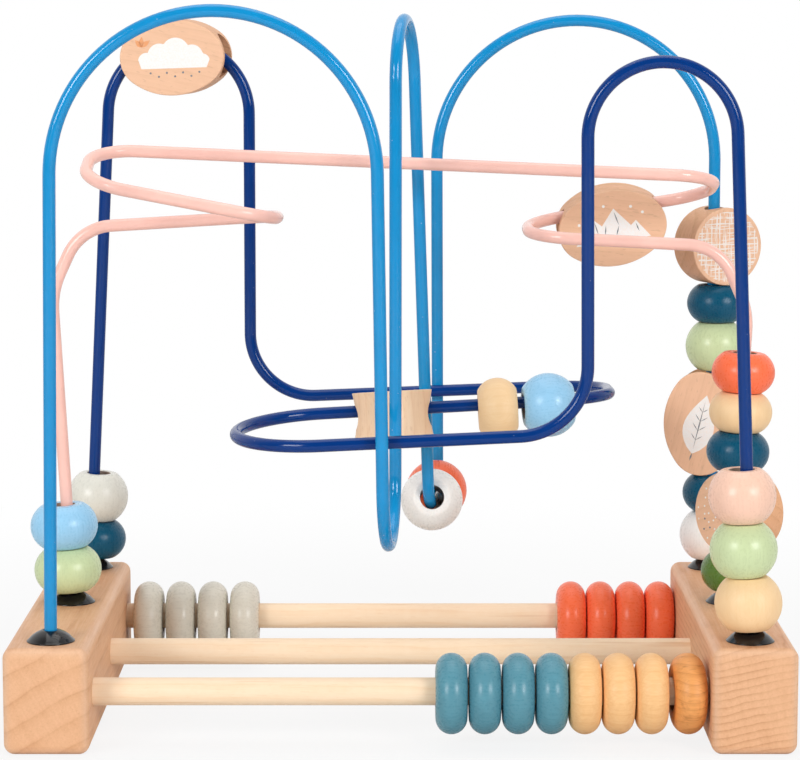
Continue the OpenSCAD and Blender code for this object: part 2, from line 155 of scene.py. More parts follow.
class EffectGroup:
    """A shader node group with named inputs and outputs, built once."""

    name = ""
    inputs: tuple[tuple[str, str], ...] = ()
    outputs: tuple[tuple[str, str], ...] = (
        ("Color", "Color"), ("Height", "Float"), ("Roughness", "Float"))

    def tree(self) -> bpy.types.NodeTree:
        """Find the group, or build it the first time.

        Returns:
            The group's node tree.
        """
        found = bpy.data.node_groups.get(self.name)
        if found:
            return found
        tree = bpy.data.node_groups.new(self.name, "ShaderNodeTree")
        for side, sockets in (("INPUT", self.inputs), ("OUTPUT", self.outputs)):
            for name, kind in sockets:
                tree.interface.new_socket(
                    name=name, in_out=side, socket_type="NodeSocket" + kind)
        graph = Graph(tree)
        given = graph.add("NodeGroupInput").outputs
        result = graph.add("NodeGroupOutput").inputs
        for name, socket in self.draw(graph, given).items():
            tree.links.new(socket, result[name])
        return tree

    def draw(self, graph: Graph, given: Sockets) -> dict[str, Socket]:
        """Draw the group's nodes; each effect has its own."""
        raise NotImplementedError

    def place(self, graph: Graph, **values: Value) -> Sockets:
        """Place the group in a material.

        Args:
            graph: The material's tree.
            values: Values or sockets by input name, with underscores for spaces.

        Returns:
            The group node's outputs.
        """
        node = graph.add("Group", node_tree=self.tree())
        for name, value in values.items():
            graph.put(node.inputs[name.replace("_", " ")], value)
        return node.outputs


class GrainEffect(EffectGroup):
    """Solid wood: growth rings round an axis along Y, fibre along Y, rays and flecks."""

    name = "wood_grain"
    inputs = (
        ("Vector", "Vector"), ("Seed", "Float"), ("Pale", "Color"), ("Dark", "Color"),
        ("Fleck Colour", "Color"), ("Ring Spacing", "Float"), ("Ring Strength", "Float"),
        ("Heart X", "Float"), ("Heart Z", "Float"), ("Fibre", "Float"), ("Fleck", "Float"),
        ("Streak", "Float"), ("Warp", "Float"),
    )
    drift = (61.0, 173.0, 97.0)
    warp_stretch, warp_scale = (1, 0.35, 1), 0.045
    ripple_stretch, ripple_scale, ripple_depth = (1, 0.2, 1), 0.4, 0.5
    ring_stops = ((0.0, 0.3), (0.1, 0.04), (0.55, 0.12), (0.86, 0.55), (0.95, 1.0), (1.0, 0.3))
    ring_height = 0.4
    fade_scale, fade_range = 0.06, (0.35, 0.6, 0.45, 1.0)
    fibre_stretch, fibre_detail = (1.5, 0.05, 1.5), 4.0
    ray_turns, ray_run, ray_reach, ray_depth = 120.0, 0.3, 0.07, 0.34
    ground = 0.2
    fleck_stretch, fleck_detail, fleck_range = (1.3, 0.26, 1.3), 1.0, (0.64, 0.74)
    streak_stretch, streak_detail, streak_range = (0.35, 0.012, 0.35), 3.0, (0.6, 0.72)
    gloss_range = (0.3, 0.7, 0.42, 0.56)

    def draw(self, graph: Graph, given: Sockets) -> dict[str, Socket]:
        """Draw rings, fibre, rays and flecks from the vector in millimetres."""
        drift = graph.joined(*[graph.times(given["Seed"], step) for step in self.drift])
        place = graph.moved(given["Vector"], drift)
        axes = graph.add("SeparateXYZ", {0: given["Vector"]}).outputs
        across = graph.math("SUBTRACT", axes[0], given["Heart X"])
        upward = graph.math("SUBTRACT", axes[2], given["Heart Z"])
        radius = graph.math("SQRT", graph.plus(
            graph.times(across, across), graph.times(upward, upward)))
        ring = self.rings(graph, given, place, radius)
        fine = graph.noise(graph.stretched(place, self.fibre_stretch), 1.0, self.fibre_detail)
        fibre = graph.times(graph.math("SUBTRACT", fine, 0.5), given["Fibre"])
        angle = graph.times(graph.math("ARCTAN2", across, upward), self.ray_turns)
        polar = graph.joined(
            angle, graph.times(axes[1], self.ray_run), graph.times(radius, self.ray_reach))
        ray = graph.times(graph.math("SUBTRACT", graph.noise(polar, 1.0), 0.5), self.ray_depth)
        amount = graph.math("ADD", graph.plus(ring, fibre, ray), self.ground, clamp=True)
        body = graph.mix(amount, given["Pale"], given["Dark"])
        dash = graph.noise(graph.stretched(place, self.fleck_stretch), 1.0, self.fleck_detail)
        fleck = graph.times(graph.spread(dash, *self.fleck_range), given["Fleck"])
        broad = graph.noise(graph.stretched(place, self.streak_stretch), 1.0, self.streak_detail)
        streak = graph.times(graph.spread(broad, *self.streak_range), given["Streak"])
        marks = graph.math("MAXIMUM", fleck, streak, clamp=True)
        hollow = graph.plus(fleck, graph.times(ring, self.ring_height))
        return {
            "Color": graph.mix(marks, body, given["Fleck Colour"]),
            "Height": graph.math("SUBTRACT", fine, hollow),
            "Roughness": graph.spread(fine, *self.gloss_range),
        }

    def rings(self, graph: Graph, given: Sockets, place: Socket, radius: Socket) -> Socket:
        """Draw growth rings that wander a little and fade here and there.

        Args:
            graph: The group's tree.
            given: The group's inputs.
            place: The point, shifted by the piece's seed.
            radius: Its distance from the heart.

        Returns:
            How dark the rings are.
        """
        wander = graph.noise(graph.stretched(place, self.warp_stretch), self.warp_scale)
        ripple = graph.noise(graph.stretched(place, self.ripple_stretch), self.ripple_scale)
        bent = graph.plus(radius, graph.times(wander, given["Warp"]),
                          graph.times(ripple, self.ripple_depth))
        phase = graph.math("FRACT", graph.math("DIVIDE", bent, given["Ring Spacing"]))
        late = graph.add("ValToRGB", {0: phase})
        self.shape_ring(late.color_ramp)
        fade = graph.spread(graph.noise(place, self.fade_scale), *self.fade_range)
        return graph.times(graph.times(late.outputs[0], fade), given["Ring Strength"])

    def shape_ring(self, ramp: bpy.types.ColorRamp) -> None:
        """Give one growth ring its pale start, slow darkening and sharp late line."""
        while len(ramp.elements) < len(self.ring_stops):
            ramp.elements.new(0.5)
        for element, (place, level) in zip(ramp.elements, self.ring_stops):
            element.position = place
            element.color = (level, level, level, 1)


class PaintEffect(EffectGroup):
    """Satin paint on turned wood: soft mottling, and the grain below it showing in the gloss."""

    name = "satin_paint"
    inputs = (("Vector", "Vector"), ("Seed", "Float"), ("Paint", "Color"), ("Wood", "Color"),
              ("Mottle", "Float"), ("Wear", "Float"), ("Bore", "Float"))
    drift = 83.0
    cloud_scale, cloud_detail = 0.16, 3.0
    grain_stretch, grain_detail, grain_height = (1.1, 0.09, 1.1), 3.0, 0.6
    peel_scale, peel_height = 0.9, 0.4
    thin_range = (0.42, 0.7)
    # Near black, and how far it darkens the bore's bare wood, as painted shade
    bore_shade, painted_shade_share = (0.05, 0.03, 0.02, 1), 0.55
    gloss_range = (0.7, 1.3, 0.24, 0.36)

    def draw(self, graph: Graph, given: Sockets) -> dict[str, Socket]:
        """Draw mottling, telegraphed grain, thin edges, and a bare bore darkened with painted
        shade.
        """
        place = graph.moved(given["Vector"], graph.times(given["Seed"], self.drift))
        cloud = graph.noise(place, self.cloud_scale, self.cloud_detail)
        grain = graph.noise(graph.stretched(place, self.grain_stretch), 1.0, self.grain_detail)
        peel = graph.noise(place, self.peel_scale)
        swing = graph.math("SUBTRACT", graph.plus(cloud, grain), 1.0)
        toned = graph.shaded(given["Paint"], graph.plus(1.0, graph.times(swing, given["Mottle"])))
        bare = graph.spread(peel, *self.thin_range)
        thin = graph.math("MULTIPLY", given["Wear"], bare, clamp=True)
        edged = graph.mix(thin, toned, given["Wood"])
        # Painted shade: the bare wood inside the bore is darkened towards near black
        inside = graph.mix(self.painted_shade_share, given["Wood"], self.bore_shade)
        return {
            "Color": graph.mix(given["Bore"], edged, inside),
            "Height": graph.plus(graph.times(grain, self.grain_height),
                                 graph.times(peel, self.peel_height)),
            "Roughness": graph.spread(graph.plus(peel, grain), *self.gloss_range),
        }


class EnamelEffect(EffectGroup):
    """Baked enamel on wire: an even colour with faint flow marks and a few specks."""

    name = "baked_enamel"
    inputs = (("Vector", "Vector"), ("Enamel", "Color"), ("Speck Colour", "Color"),
              ("Specks", "Float"))
    flow_scale, flow_detail, flow_base, flow_swing = 0.11, 3.0, 0.93, 0.14
    speck_scale, speck_range, speck_rarity = 0.33, (0.09, 0.05), 0.72
    peel_scale = 0.55
    gloss_range = (0.3, 0.7, 0.1, 0.17)

    def draw(self, graph: Graph, given: Sockets) -> dict[str, Socket]:
        """Draw flow marks, specks and orange peel."""
        flow = graph.noise(given["Vector"], self.flow_scale, self.flow_detail)
        level = graph.plus(self.flow_base, graph.times(flow, self.flow_swing))
        toned = graph.shaded(given["Enamel"], level)
        cell = graph.add("TexVoronoi", {"Vector": given["Vector"], "Scale": self.speck_scale})
        near = graph.spread(cell.outputs["Distance"], *self.speck_range)
        pick = graph.add("SeparateColor", {0: cell.outputs["Color"]}).outputs[0]
        rare = graph.math("GREATER_THAN", pick, self.speck_rarity)
        speck = graph.times(graph.times(near, rare), given["Specks"])
        return {
            "Color": graph.mix(speck, toned, given["Speck Colour"]),
            "Height": graph.noise(given["Vector"], self.peel_scale),
            "Roughness": graph.spread(flow, *self.gloss_range),
        }


class FacePrintEffect(EffectGroup):
    """Printed patterns on the flat faces of a round disc: a loose hatch, and scattered dots."""

    name = "face_print"
    inputs = (("Vector", "Vector"), ("Face Depth", "Float"), ("Face Radius", "Float"))
    outputs = (("Hatch", "Float"), ("Dots", "Float"), ("Dark Dots", "Float"))
    # Axis across the strokes, axis along them, strokes for each millimetre, start of the spacing
    stroke_sets = ((0, 2, 0.74, 7.0), (2, 0, 0.74, 31.0), (0, 2, 0.45, 53.0), (2, 0, 0.5, 71.0))
    sway_scale, sway_depth = 0.12, 1.6
    line_range = (0.13, 0.08)
    lift_over, lift_along, lift_detail, lift_range = 0.9, 0.13, 1.0, (0.44, 0.5)
    dot_scale, dot_scatter, dot_range, dark_rarity = 0.33, 0.8, (0.15, 0.115), 0.74

    def draw(self, graph: Graph, given: Sockets) -> dict[str, Socket]:
        """Draw both patterns from the local vector in millimetres; the faces look along Y."""
        axes = graph.add("SeparateXYZ", {0: given["Vector"]}).outputs
        flat = graph.joined(axes[0], axes[2], 0.0)
        reach = graph.add("VectorMath", {0: flat}, operation="LENGTH").outputs["Value"]
        outer = graph.math("GREATER_THAN", graph.math("ABSOLUTE", axes[1]), given["Face Depth"])
        on_face = graph.times(outer, graph.math("LESS_THAN", reach, given["Face Radius"]))
        strokes = [self.strokes(graph, flat, axes[over], axes[along], pitch, start)
                   for over, along, pitch, start in self.stroke_sets]
        hatch = strokes[0]
        for more in strokes[1:]:
            hatch = graph.math("MAXIMUM", hatch, more)
        inputs = {"Vector": flat, "Scale": self.dot_scale, "Randomness": self.dot_scatter}
        cell = graph.add("TexVoronoi", inputs, voronoi_dimensions="2D")
        dot = graph.times(graph.spread(cell.outputs["Distance"], *self.dot_range), on_face)
        pick = graph.add("SeparateColor", {0: cell.outputs["Color"]}).outputs[0]
        dark = graph.math("GREATER_THAN", pick, self.dark_rarity)
        return {
            "Hatch": graph.times(hatch, on_face),
            "Dots": dot,
            "Dark Dots": graph.times(dot, dark),
        }

    def strokes(self, graph: Graph, flat: Socket, over: Socket, along: Socket,
                pitch: float, start: float) -> Socket:
        """Draw one set of hand-drawn strokes.

        Args:
            graph: The group's tree.
            flat: The point on the face.
            over: The coordinate across the strokes.
            along: The coordinate along the strokes.
            pitch: Strokes for each millimetre.
            start: Where the random spacing starts.

        Returns:
            A mask of the strokes.
        """
        wander = graph.noise(graph.moved(flat, (start, start, 0)), self.sway_scale)
        sway = graph.times(wander, self.sway_depth)
        count = graph.plus(graph.times(graph.plus(over, sway), pitch), start)
        edge = graph.add("TexVoronoi", {"W": count, "Scale": 1.0}, voronoi_dimensions="1D",
                         feature="DISTANCE_TO_EDGE").outputs["Distance"]
        piece = graph.joined(
            graph.times(count, self.lift_over), graph.times(along, self.lift_along), start)
        drawn = graph.spread(graph.noise(piece, 1.0, self.lift_detail), *self.lift_range)
        return graph.times(graph.spread(edge, *self.line_range), drawn)


GRAIN = GrainEffect()
PAINT = PaintEffect()
ENAMEL = EnamelEffect()
FACE_PRINT = FacePrintEffect()

SANDED_EDGE = "#F6D6BC"
# Dark brown laid on the bores of bare wood pieces as painted shade
PAINTED_BORE_SHADE = "#6B4A34"
PRINT_WHITE = "#F1F0EE"
PRINT_SLATE = "#5E6C78"
PRINT_ORANGE = "#E3965C"
RELIEF_MM = 0.1


class GrainRun(Enum):
    """The local axis that a piece's fibre runs along, as a turn that brings it to Y."""

    ALONG_Y = (0.0, 0.0, 0.0)
    ALONG_Z = (-90.0, 0.0, 0.0)
    LEANING = (-90.0, 0.0, 14.0)
    CROSSING = (-90.0, 0.0, 68.0)


class Print(Enum):
    """Patterns printed on the faces of round discs."""

    NONE = 0
    HATCH = 1
    DOTS = 2


def new_material(name: str) -> tuple[bpy.types.Material, Graph, bpy.types.Node]:
    """Make an empty material with a Principled shader.

    Args:
        name: The material's name.

    Returns:
        The material, its graph and its shader.
    """
    material = bpy.data.materials.new(name)
    material.use_nodes = True
    graph = Graph(material.node_tree)
    shader = next(n for n in material.node_tree.nodes if n.type == "BSDF_PRINCIPLED")
    return material, graph, shader


def local_mm(graph: Graph, turn: GrainRun = GrainRun.ALONG_Y) -> Socket:
    """Give the piece's own coordinates in millimetres, with its fibre brought to Y."""
    where = graph.add("TexCoord").outputs["Object"]
    angles = tuple(math.radians(a) for a in turn.value)
    inputs = {"Vector": where, "Rotation": angles, "Scale": (1 / MM, 1 / MM, 1 / MM)}
    return graph.add("Mapping", inputs).outputs[0]


def mark_of(graph: Graph, name: str) -> Socket:
    """Read a mark between 0 and 1 that the mesh carries."""
    return graph.add("Attribute", attribute_name=name).outputs["Fac"]


def bump(graph: Graph, shader: bpy.types.Node, height: Socket, strength: float,
         depth: float = RELIEF_MM) -> None:
    """Send a height to the shader's normal, with a depth in millimetres."""
    node = graph.add("Bump", {"Height": height, "Strength": strength, "Distance": depth * MM})
    graph.put(shader.inputs["Normal"], node.outputs[0])


def fill_shader(graph: Graph, shader: bpy.types.Node, colour: Value, out: Sockets,
                gloss: float, relief: float) -> None:
    """Feed a shader from an effect.

    Args:
        graph: The material's tree.
        shader: Its shader.
        colour: The surface's colour.
        out: The effect's outputs, for roughness and height.
        gloss: How strongly the surface mirrors.
        relief: How strongly the height shows.
    """
    graph.put(shader.inputs["Base Color"], colour)
    graph.put(shader.inputs["Roughness"], out["Roughness"])
    shader.inputs["Specular IOR Level"].default_value = gloss
    bump(graph, shader, out["Height"], relief)


@dataclass(frozen=True)
class WoodFinish:
    """Oiled or stained wood."""

    slot: str
    pale: str
    dark: str
    fleck_colour: str
    spacing: float = 2.6
    rings: float = 0.5
    heart: Point = (20.0, -88.0)
    fibre: float = 0.5
    fleck: float = 0.3
    streak: float = 0.0
    edge: float = 0.35
    gloss: float = 0.35
    warp: float = 7.0
    # How far the bore's wall is darkened by painted shade
    painted_shade_share: float = 0.55
    hatch_share: float = 0.8
    dot_share: float = 0.9
    relief: float = 0.12

    def material(self, name: str, run: GrainRun, face: Print = Print.NONE,
                 face_size: Point = (0, 0)) -> bpy.types.Material:
        """Build the wood's material.

        Args:
            name: The material's name.
            run: How the fibre runs in the piece.
            face: The pattern printed on its flat faces.
            face_size: Depth of the faces and radius of the print, in millimetres.

        Returns:
            The material.
        """
        material, graph, shader = new_material(name)
        out = GRAIN.place(
            graph, Vector=local_mm(graph, run), Seed=mark_of(graph, "piece_seed"),
            Pale=srgb(self.pale), Dark=srgb(self.dark), Fleck_Colour=srgb(self.fleck_colour),
            Ring_Spacing=self.spacing, Ring_Strength=self.rings,
            Heart_X=self.heart[0], Heart_Z=self.heart[1],
            Fibre=self.fibre, Fleck=self.fleck, Streak=self.streak, Warp=self.warp)
        worn = graph.times(mark_of(graph, "edge"), self.edge)
        colour = graph.mix(worn, out["Color"], srgb(SANDED_EDGE))
        # Painted shade: the bore's wall is darkened towards a dark brown
        inside = graph.times(mark_of(graph, "bore"), self.painted_shade_share)
        colour = graph.mix(inside, colour, srgb(PAINTED_BORE_SHADE))
        if face is not Print.NONE:
            colour = self.printed(graph, colour, face, face_size)
        fill_shader(graph, shader, colour, out, self.gloss, self.relief)
        return material

    def printed(self, graph: Graph, colour: Socket, face: Print, size: Point) -> Socket:
        """Lay a printed pattern over the wood's colour and return the result."""
        out = FACE_PRINT.place(
            graph, Vector=local_mm(graph), Face_Depth=size[0], Face_Radius=size[1])
        white = srgb(PRINT_WHITE)
        if face is Print.HATCH:
            return graph.mix(graph.times(out["Hatch"], self.hatch_share), colour, white)
        light = graph.mix(graph.times(out["Dots"], self.dot_share), colour, white)
        return graph.mix(out["Dark Dots"], light, srgb(PRINT_SLATE))


@dataclass(frozen=True)
class PaintFinish:
    """Satin paint over turned wood."""

    slot: str
    paint: str
    mottle: float = 0.1
    gloss: float = 0.42
    wear: float = 0.25
    relief: float = 0.11

    def title(self) -> str:
        """Give a name that tells shades of one slot apart."""
        return f"paint_{self.slot}_{self.paint[1:].lower()}"

    def material(self, name: str) -> bpy.types.Material:
        """Build the paint's material and return it."""
        material, graph, shader = new_material(name)
        out = PAINT.place(
            graph, Vector=local_mm(graph, GrainRun.ALONG_Z), Seed=mark_of(graph, "piece_seed"),
            Paint=srgb(self.paint), Wood=srgb(SANDED_EDGE), Mottle=self.mottle,
            Wear=graph.times(mark_of(graph, "edge"), self.wear), Bore=mark_of(graph, "bore"))
        fill_shader(graph, shader, out["Color"], out, self.gloss, self.relief)
        return material


@dataclass(frozen=True)
class EnamelFinish:
    """Baked enamel on steel wire."""

    slot: str
    enamel: str
    specks: float = 0.25
    gloss: float = 0.3
    relief: float = 0.07

    def material(self, name: str) -> bpy.types.Material:
        """Build the enamel's material and return it."""
        material, graph, shader = new_material(name)
        out = ENAMEL.place(graph, Vector=local_mm(graph), Enamel=srgb(self.enamel),
                           Speck_Colour=srgb(PRINT_WHITE), Specks=self.specks)
        fill_shader(graph, shader, out["Color"], out, self.gloss, self.relief)
        return material


@dataclass(frozen=True)
class PlasticFinish:
    """Moulded glossy plastic with a little dust."""

    slot: str
    colour: str
    haze_scale: float = 0.5
    haze_detail: float = 4.0
    dust_scale: float = 1.7
    dust_range: Range = (0.66, 0.74)
    dust_share: float = 0.02
    gloss_range: Range = (0.3, 0.7, 0.1, 0.18)
    relief: float = 0.03

    def material(self, name: str) -> bpy.types.Material:
        """Build the plastic's material and return it."""
        material, graph, shader = new_material(name)
        where = local_mm(graph)
        haze = graph.noise(where, self.haze_scale, self.haze_detail)
        dust = graph.spread(graph.noise(where, self.dust_scale), *self.dust_range)
        colour = graph.mix(
            graph.times(dust, self.dust_share), srgb(self.colour), srgb(PRINT_WHITE))
        graph.put(shader.inputs["Base Color"], colour)
        graph.put(shader.inputs["Roughness"], graph.spread(haze, *self.gloss_range))
        bump(graph, shader, haze, self.relief)
        return material


@dataclass(frozen=True)
class InkFinish:
    """Thin printing ink that lets a little of the wood through."""

    colour: str
    speckle_scale: float = 1.6
    speckle_detail: float = 3.0
    speckle_range: Range = (0.3, 0.75, 0.0, 0.22)
    gloss_range: Range = (0.0, 0.2, 0.5, 0.62)
    relief: float = 0.1
    depth: float = 0.05

    def material(self, name: str) -> bpy.types.Material:
        """Build the ink's material and return it."""
        material, graph, shader = new_material(name)
        spots = graph.noise(local_mm(graph), self.speckle_scale, self.speckle_detail)
        speckle = graph.spread(spots, *self.speckle_range)
        colour = graph.mix(speckle, srgb(self.colour), srgb(SANDED_EDGE))
        graph.put(shader.inputs["Base Color"], colour)
        graph.put(shader.inputs["Roughness"], graph.spread(speckle, *self.gloss_range))
        bump(graph, shader, speckle, self.relief, self.depth)
        return material


Paintwork = PaintFinish | WoodFinish
Finish = WoodFinish | PaintFinish | EnamelFinish | PlasticFinish | InkFinish

BLOCK_BEECH = WoodFinish("beech", "#EBBA91", "#C4885D", "#B0764E", spacing=2.7, rings=0.8,
                         fibre=0.45, fleck=0.18, edge=0.25, warp=4.0)
DISC_BEECH = WoodFinish("beech", "#E9B38A", "#CB9164", "#A86E44", spacing=4.2, rings=0.4,
                        heart=(60.0, 30.0), fleck=0.4)
SPOOL_BEECH = WoodFinish("beech", "#F9D8B6", "#E6B98F", "#CFA074", spacing=3.4, rings=0.45,
                         heart=(40.0, 22.0), fibre=0.4, fleck=0.25)
MAPLE = WoodFinish("maple", "#FBE3C6", "#EFC99C", "#D5A06A", spacing=5.0, rings=0.35,
                   heart=(30.0, 18.0), fibre=0.45, fleck=0.1, streak=0.5, edge=0.2)
NATURAL = WoodFinish("natural", "#F8D5A6", "#EBBE86", "#DFAE78", spacing=3.4, rings=0.16,
                     heart=(24.0, 16.0), fibre=0.4, fleck=0.1, edge=0.15, gloss=0.45)
HONEY = WoodFinish("natural", "#F6C88F", "#E2A464", "#D29456", spacing=4.2, rings=0.22,
                   heart=(26.0, 10.0), fibre=0.7, fleck=0.12, streak=0.15, edge=0.1, gloss=0.45)
AMBER = WoodFinish("amber", "#EEA65E", "#C67E3E", "#AC6830", spacing=3.0, rings=0.5,
                   heart=(22.0, 12.0), fibre=0.6, fleck=0.2, streak=0.5, edge=0.0, gloss=0.5)
BLACK = PlasticFinish("black", "#121112")
WIRES = {
    "light": EnamelFinish("light_blue", "#0C8CC8", gloss=0.45),
    "dark": EnamelFinish("dark_blue", "#00347A", specks=0.12),
    "pink": EnamelFinish("pink", "#F9C5B7", specks=0.15, gloss=0.45),
}
PAINTS = {
    "grey": PaintFinish("grey", "#DAD4C5"),
    "coral": PaintFinish("coral", "#FF744A", gloss=0.35),
    "dusty_teal": PaintFinish("dusty_teal", "#5890A0", mottle=0.2, gloss=0.35),
    "teal": PaintFinish("teal", "#00506D", mottle=0.12, gloss=0.3),
    "pale_green": PaintFinish("pale_green", "#C9D8A8"),
    "pale_blue": PaintFinish("pale_blue", "#98CCEC"),
    "white": PaintFinish("white", "#E0DED3"),
    "bright_white": PaintFinish("white", "#F2F0EC"),
    "pale_pink": PaintFinish("pale_pink", "#F3C8B1"),
    "moss": PaintFinish("moss", "#55752E"),
}
INKS = {
    "white": InkFinish(PRINT_WHITE),
    "slate": InkFinish(PRINT_SLATE),
    "orange": InkFinish(PRINT_ORANGE),
}


class Palette:
    """Materials made so far, by name."""

    def __init__(self) -> None:
        """Start with no materials."""
        self.made: dict[str, bpy.types.Material] = {}

    def coat(self, finish: Finish, name: str, *cut: object) -> bpy.types.Material:
        """Give a finish's material, made once for each name.

        Args:
            finish: The wood, paint, enamel, plastic or ink.
            name: The material's name.
            cut: For wood, how the fibre runs, and any printed pattern with its size.

        Returns:
            The material.
        """
        if name not in self.made:
            self.made[name] = finish.material(name, *cut)
        return self.made[name]


PALETTE = Palette()

# Below this, a direction lies too close to a hint to make axes with it
LEAST_CROSS = 0.5
# Edges of cut pieces that turn by more than this many degrees stay sharp
CUT_SHARP = 38.0
# How far a hole's mesh reaches, as a share of the piece's radius
CUT_OVERRUN = 1.3
BORE_STEPS = 48


def seed_for(name: str) -> float:
    """Draw a piece's own number between 0 and 1 from its name."""
    return random.Random(name).random()


def round_row(bm: bmesh.types.BMesh, radius: float, z: float, segments: int) -> Row:
    """Add a level ring of vertices round Z, with its sizes in millimetres, and return it."""
    turns = [2 * math.pi * k / segments for k in range(segments)]
    return [bm.verts.new((radius * MM * math.cos(t), radius * MM * math.sin(t), z * MM))
            for t in turns]


def skin(bm: bmesh.types.BMesh, rows: list[Row]) -> None:
    """Close rows of vertices with faces round them and one face at each end."""
    for a, b in zip(rows, rows[1:]):
        for k in range(len(a)):
            bm.faces.new((a[k], a[k - 1], b[k - 1], b[k]))
    bm.faces.new(rows[0])
    bm.faces.new(rows[-1])


def mesh_object(name: str, bm: bmesh.types.BMesh, material: bpy.types.Material,
                marks: dict | None = None, sharp: float = 50.0) -> bpy.types.Object:
    """Turn a built mesh into a smooth-shaded object.

    Args:
        name: The object's name.
        bm: The built mesh, in metres, which is freed.
        material: Its material.
        marks: Values for each vertex by attribute name.
        sharp: Edges that turn by more than this many degrees stay sharp.

    Returns:
        The new object, at the origin.
    """
    bmesh.ops.recalc_face_normals(bm, faces=bm.faces)
    mesh = bpy.data.meshes.new(name)
    bm.to_mesh(mesh)
    bm.free()
    mesh.materials.append(material)
    mesh.shade_smooth()
    mesh.set_sharp_from_angle(angle=math.radians(sharp))
    count = len(mesh.vertices)
    values = {"piece_seed": [seed_for(name)] * count, "edge": [0.0] * count,
              "bore": [0.0] * count, **(marks or {})}
    for key, row in values.items():
        attribute = mesh.attributes.new(key, "FLOAT", "POINT")
        attribute.data.foreach_set("value", row)
    obj = bpy.data.objects.new(name, mesh)
    bpy.context.scene.collection.objects.link(obj)
    return obj


def settle(obj: bpy.types.Object, node: str, body: str) -> bpy.types.Object:
    """Let a piece stand for a node and ride on its body.

    Args:
        obj: The piece.
        node: The node that it replaces.
        body: The body that it rides on.

    Returns:
        The piece.
    """
    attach(obj, body)
    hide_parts(node)
    LOG.info("%s rides on %s and stands for %s", obj.name, body, node)
    return obj


def box_of(node: str) -> tuple[Vector, Vector]:
    """Give a node's lowest and highest corners at rest."""
    low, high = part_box(node)
    return Vector(low), Vector(high)


def centre_of(node: str) -> Vector:
    """Give the middle of a node's box at rest."""
    low, high = box_of(node)
    return (low + high) / 2


def frame_along(direction: Vector) -> Matrix:
    """Give axes whose Z lies along a direction; X points down where it is level along X."""
    hint = Vector((0, 1, 0))
    if hint.cross(direction).length <= LEAST_CROSS:
        hint = Vector((1, 0, 0))
    x = hint.cross(direction).normalized()
    y = direction.cross(x)
    return Matrix((x, y, direction)).transposed()


def turned(axis: str, degrees: float) -> Matrix:
    """Give a turn about one axis."""
    return Matrix.Rotation(math.radians(degrees), 3, axis)


def arc(centre: Point, radius: float, start: float, end: float, steps: int) -> list[Point]:
    """Give points on an arc, with its angles in degrees."""
    angles = [math.radians(start + (end - start) * i / steps) for i in range(steps + 1)]
    return [(centre[0] + radius * math.cos(a), centre[1] + radius * math.sin(a)) for a in angles]


def circle(centre: Point, radius: float, steps: int) -> list[Point]:
    """Give points on a whole circle."""
    return arc(centre, radius, 0, 360, steps)[:-1]


@dataclass
class Profile:
    """Closed outline of a turned piece, as radius and height in millimetres."""

    points: list[Point]
    ease: float = 0.45
    bore_r: float = 0.0
    step: float = 0.12
    most_turn: float = 9.0
    most_run: float = 1.7
    mark_start: float = 0.25
    mark_span: float = 0.7
    least_run: float = 1e-6

    def eased(self) -> list[tuple[Point, float]]:
        """Round the outline's corners and thin its points out.

        Returns:
            Points with how sharply the outline turned there, from 0 to 1.
        """
        dense = self.dense(self.step)
        passes = max(1, round((self.ease / self.step) ** 2))
        for _ in range(passes):
            before, after = dense[-1:] + dense[:-1], dense[1:] + dense[:1]
            dense = [((a[0] + 2 * b[0] + c[0]) / 4, (a[1] + 2 * b[1] + c[1]) / 4)
                     for a, b, c in zip(before, dense, after)]
        return self.thinned(dense)

    def dense(self, step: float) -> list[Point]:
        """Give points at an even step along the outline."""
        result: list[Point] = []
        for (ax, ay), (bx, by) in zip(self.points, self.points[1:] + self.points[:1]):
            count = max(1, round(math.hypot(bx - ax, by - ay) / step))
            result += [(ax + (bx - ax) * i / count, ay + (by - ay) * i / count)
                       for i in range(count)]
        return result

    def thinned(self, dense: list[Point]) -> list[tuple[Point, float]]:
        """Keep points where the outline has turned or run on enough."""
        kept: list[tuple[Point, float]] = []
        angle = length = 0.0
        for i, (x, y) in enumerate(dense):
            px, py = dense[i - 1]
            nx, ny = dense[(i + 1) % len(dense)]
            into = math.atan2(y - py, x - px)
            out = math.atan2(ny - y, nx - x)
            bend = abs((out - into + math.pi) % (2 * math.pi) - math.pi)
            step = math.hypot(x - px, y - py)
            angle += bend
            length += step
            if angle > math.radians(self.most_turn) or length > self.most_run:
                bend_rate = angle / max(length, self.least_run)
                mark = max(0.0, bend_rate - self.mark_start) / self.mark_span
                kept.append(((x, y), min(1.0, mark)))
                angle = length = 0.0
        return kept

    def mesh(self, segments: int) -> tuple[bmesh.types.BMesh, dict[str, list[float]]]:
        """Turn the outline about Z.

        Args:
            segments: Steps round the axis.

        Returns:
            The mesh in metres, and its edge and bore marks.
        """
        outline = self.eased()
        bm = bmesh.new()
        rows = [round_row(bm, r, z, segments) for (r, z), _ in outline]
        for a, b in zip(rows, rows[1:] + rows[:1]):
            for k in range(segments):
                j = (k + 1) % segments
                bm.faces.new((a[k], a[j], b[j], b[k]))
        edge = [mark for _, mark in outline for _ in range(segments)]
        wall_r = self.bore_r + self.step
        bore = [float(r < wall_r) for (r, _), _ in outline for _ in range(segments)]
        return bm, {"edge": edge, "bore": bore}


class BeadShape(Enum):
    """Diameter and length along the bore of each kind of bead, in millimetres."""

    BALL = (25.2, 19.9)
    FLAT = (24.8, 15.5)
    WIDE = (26.5, 17.2)


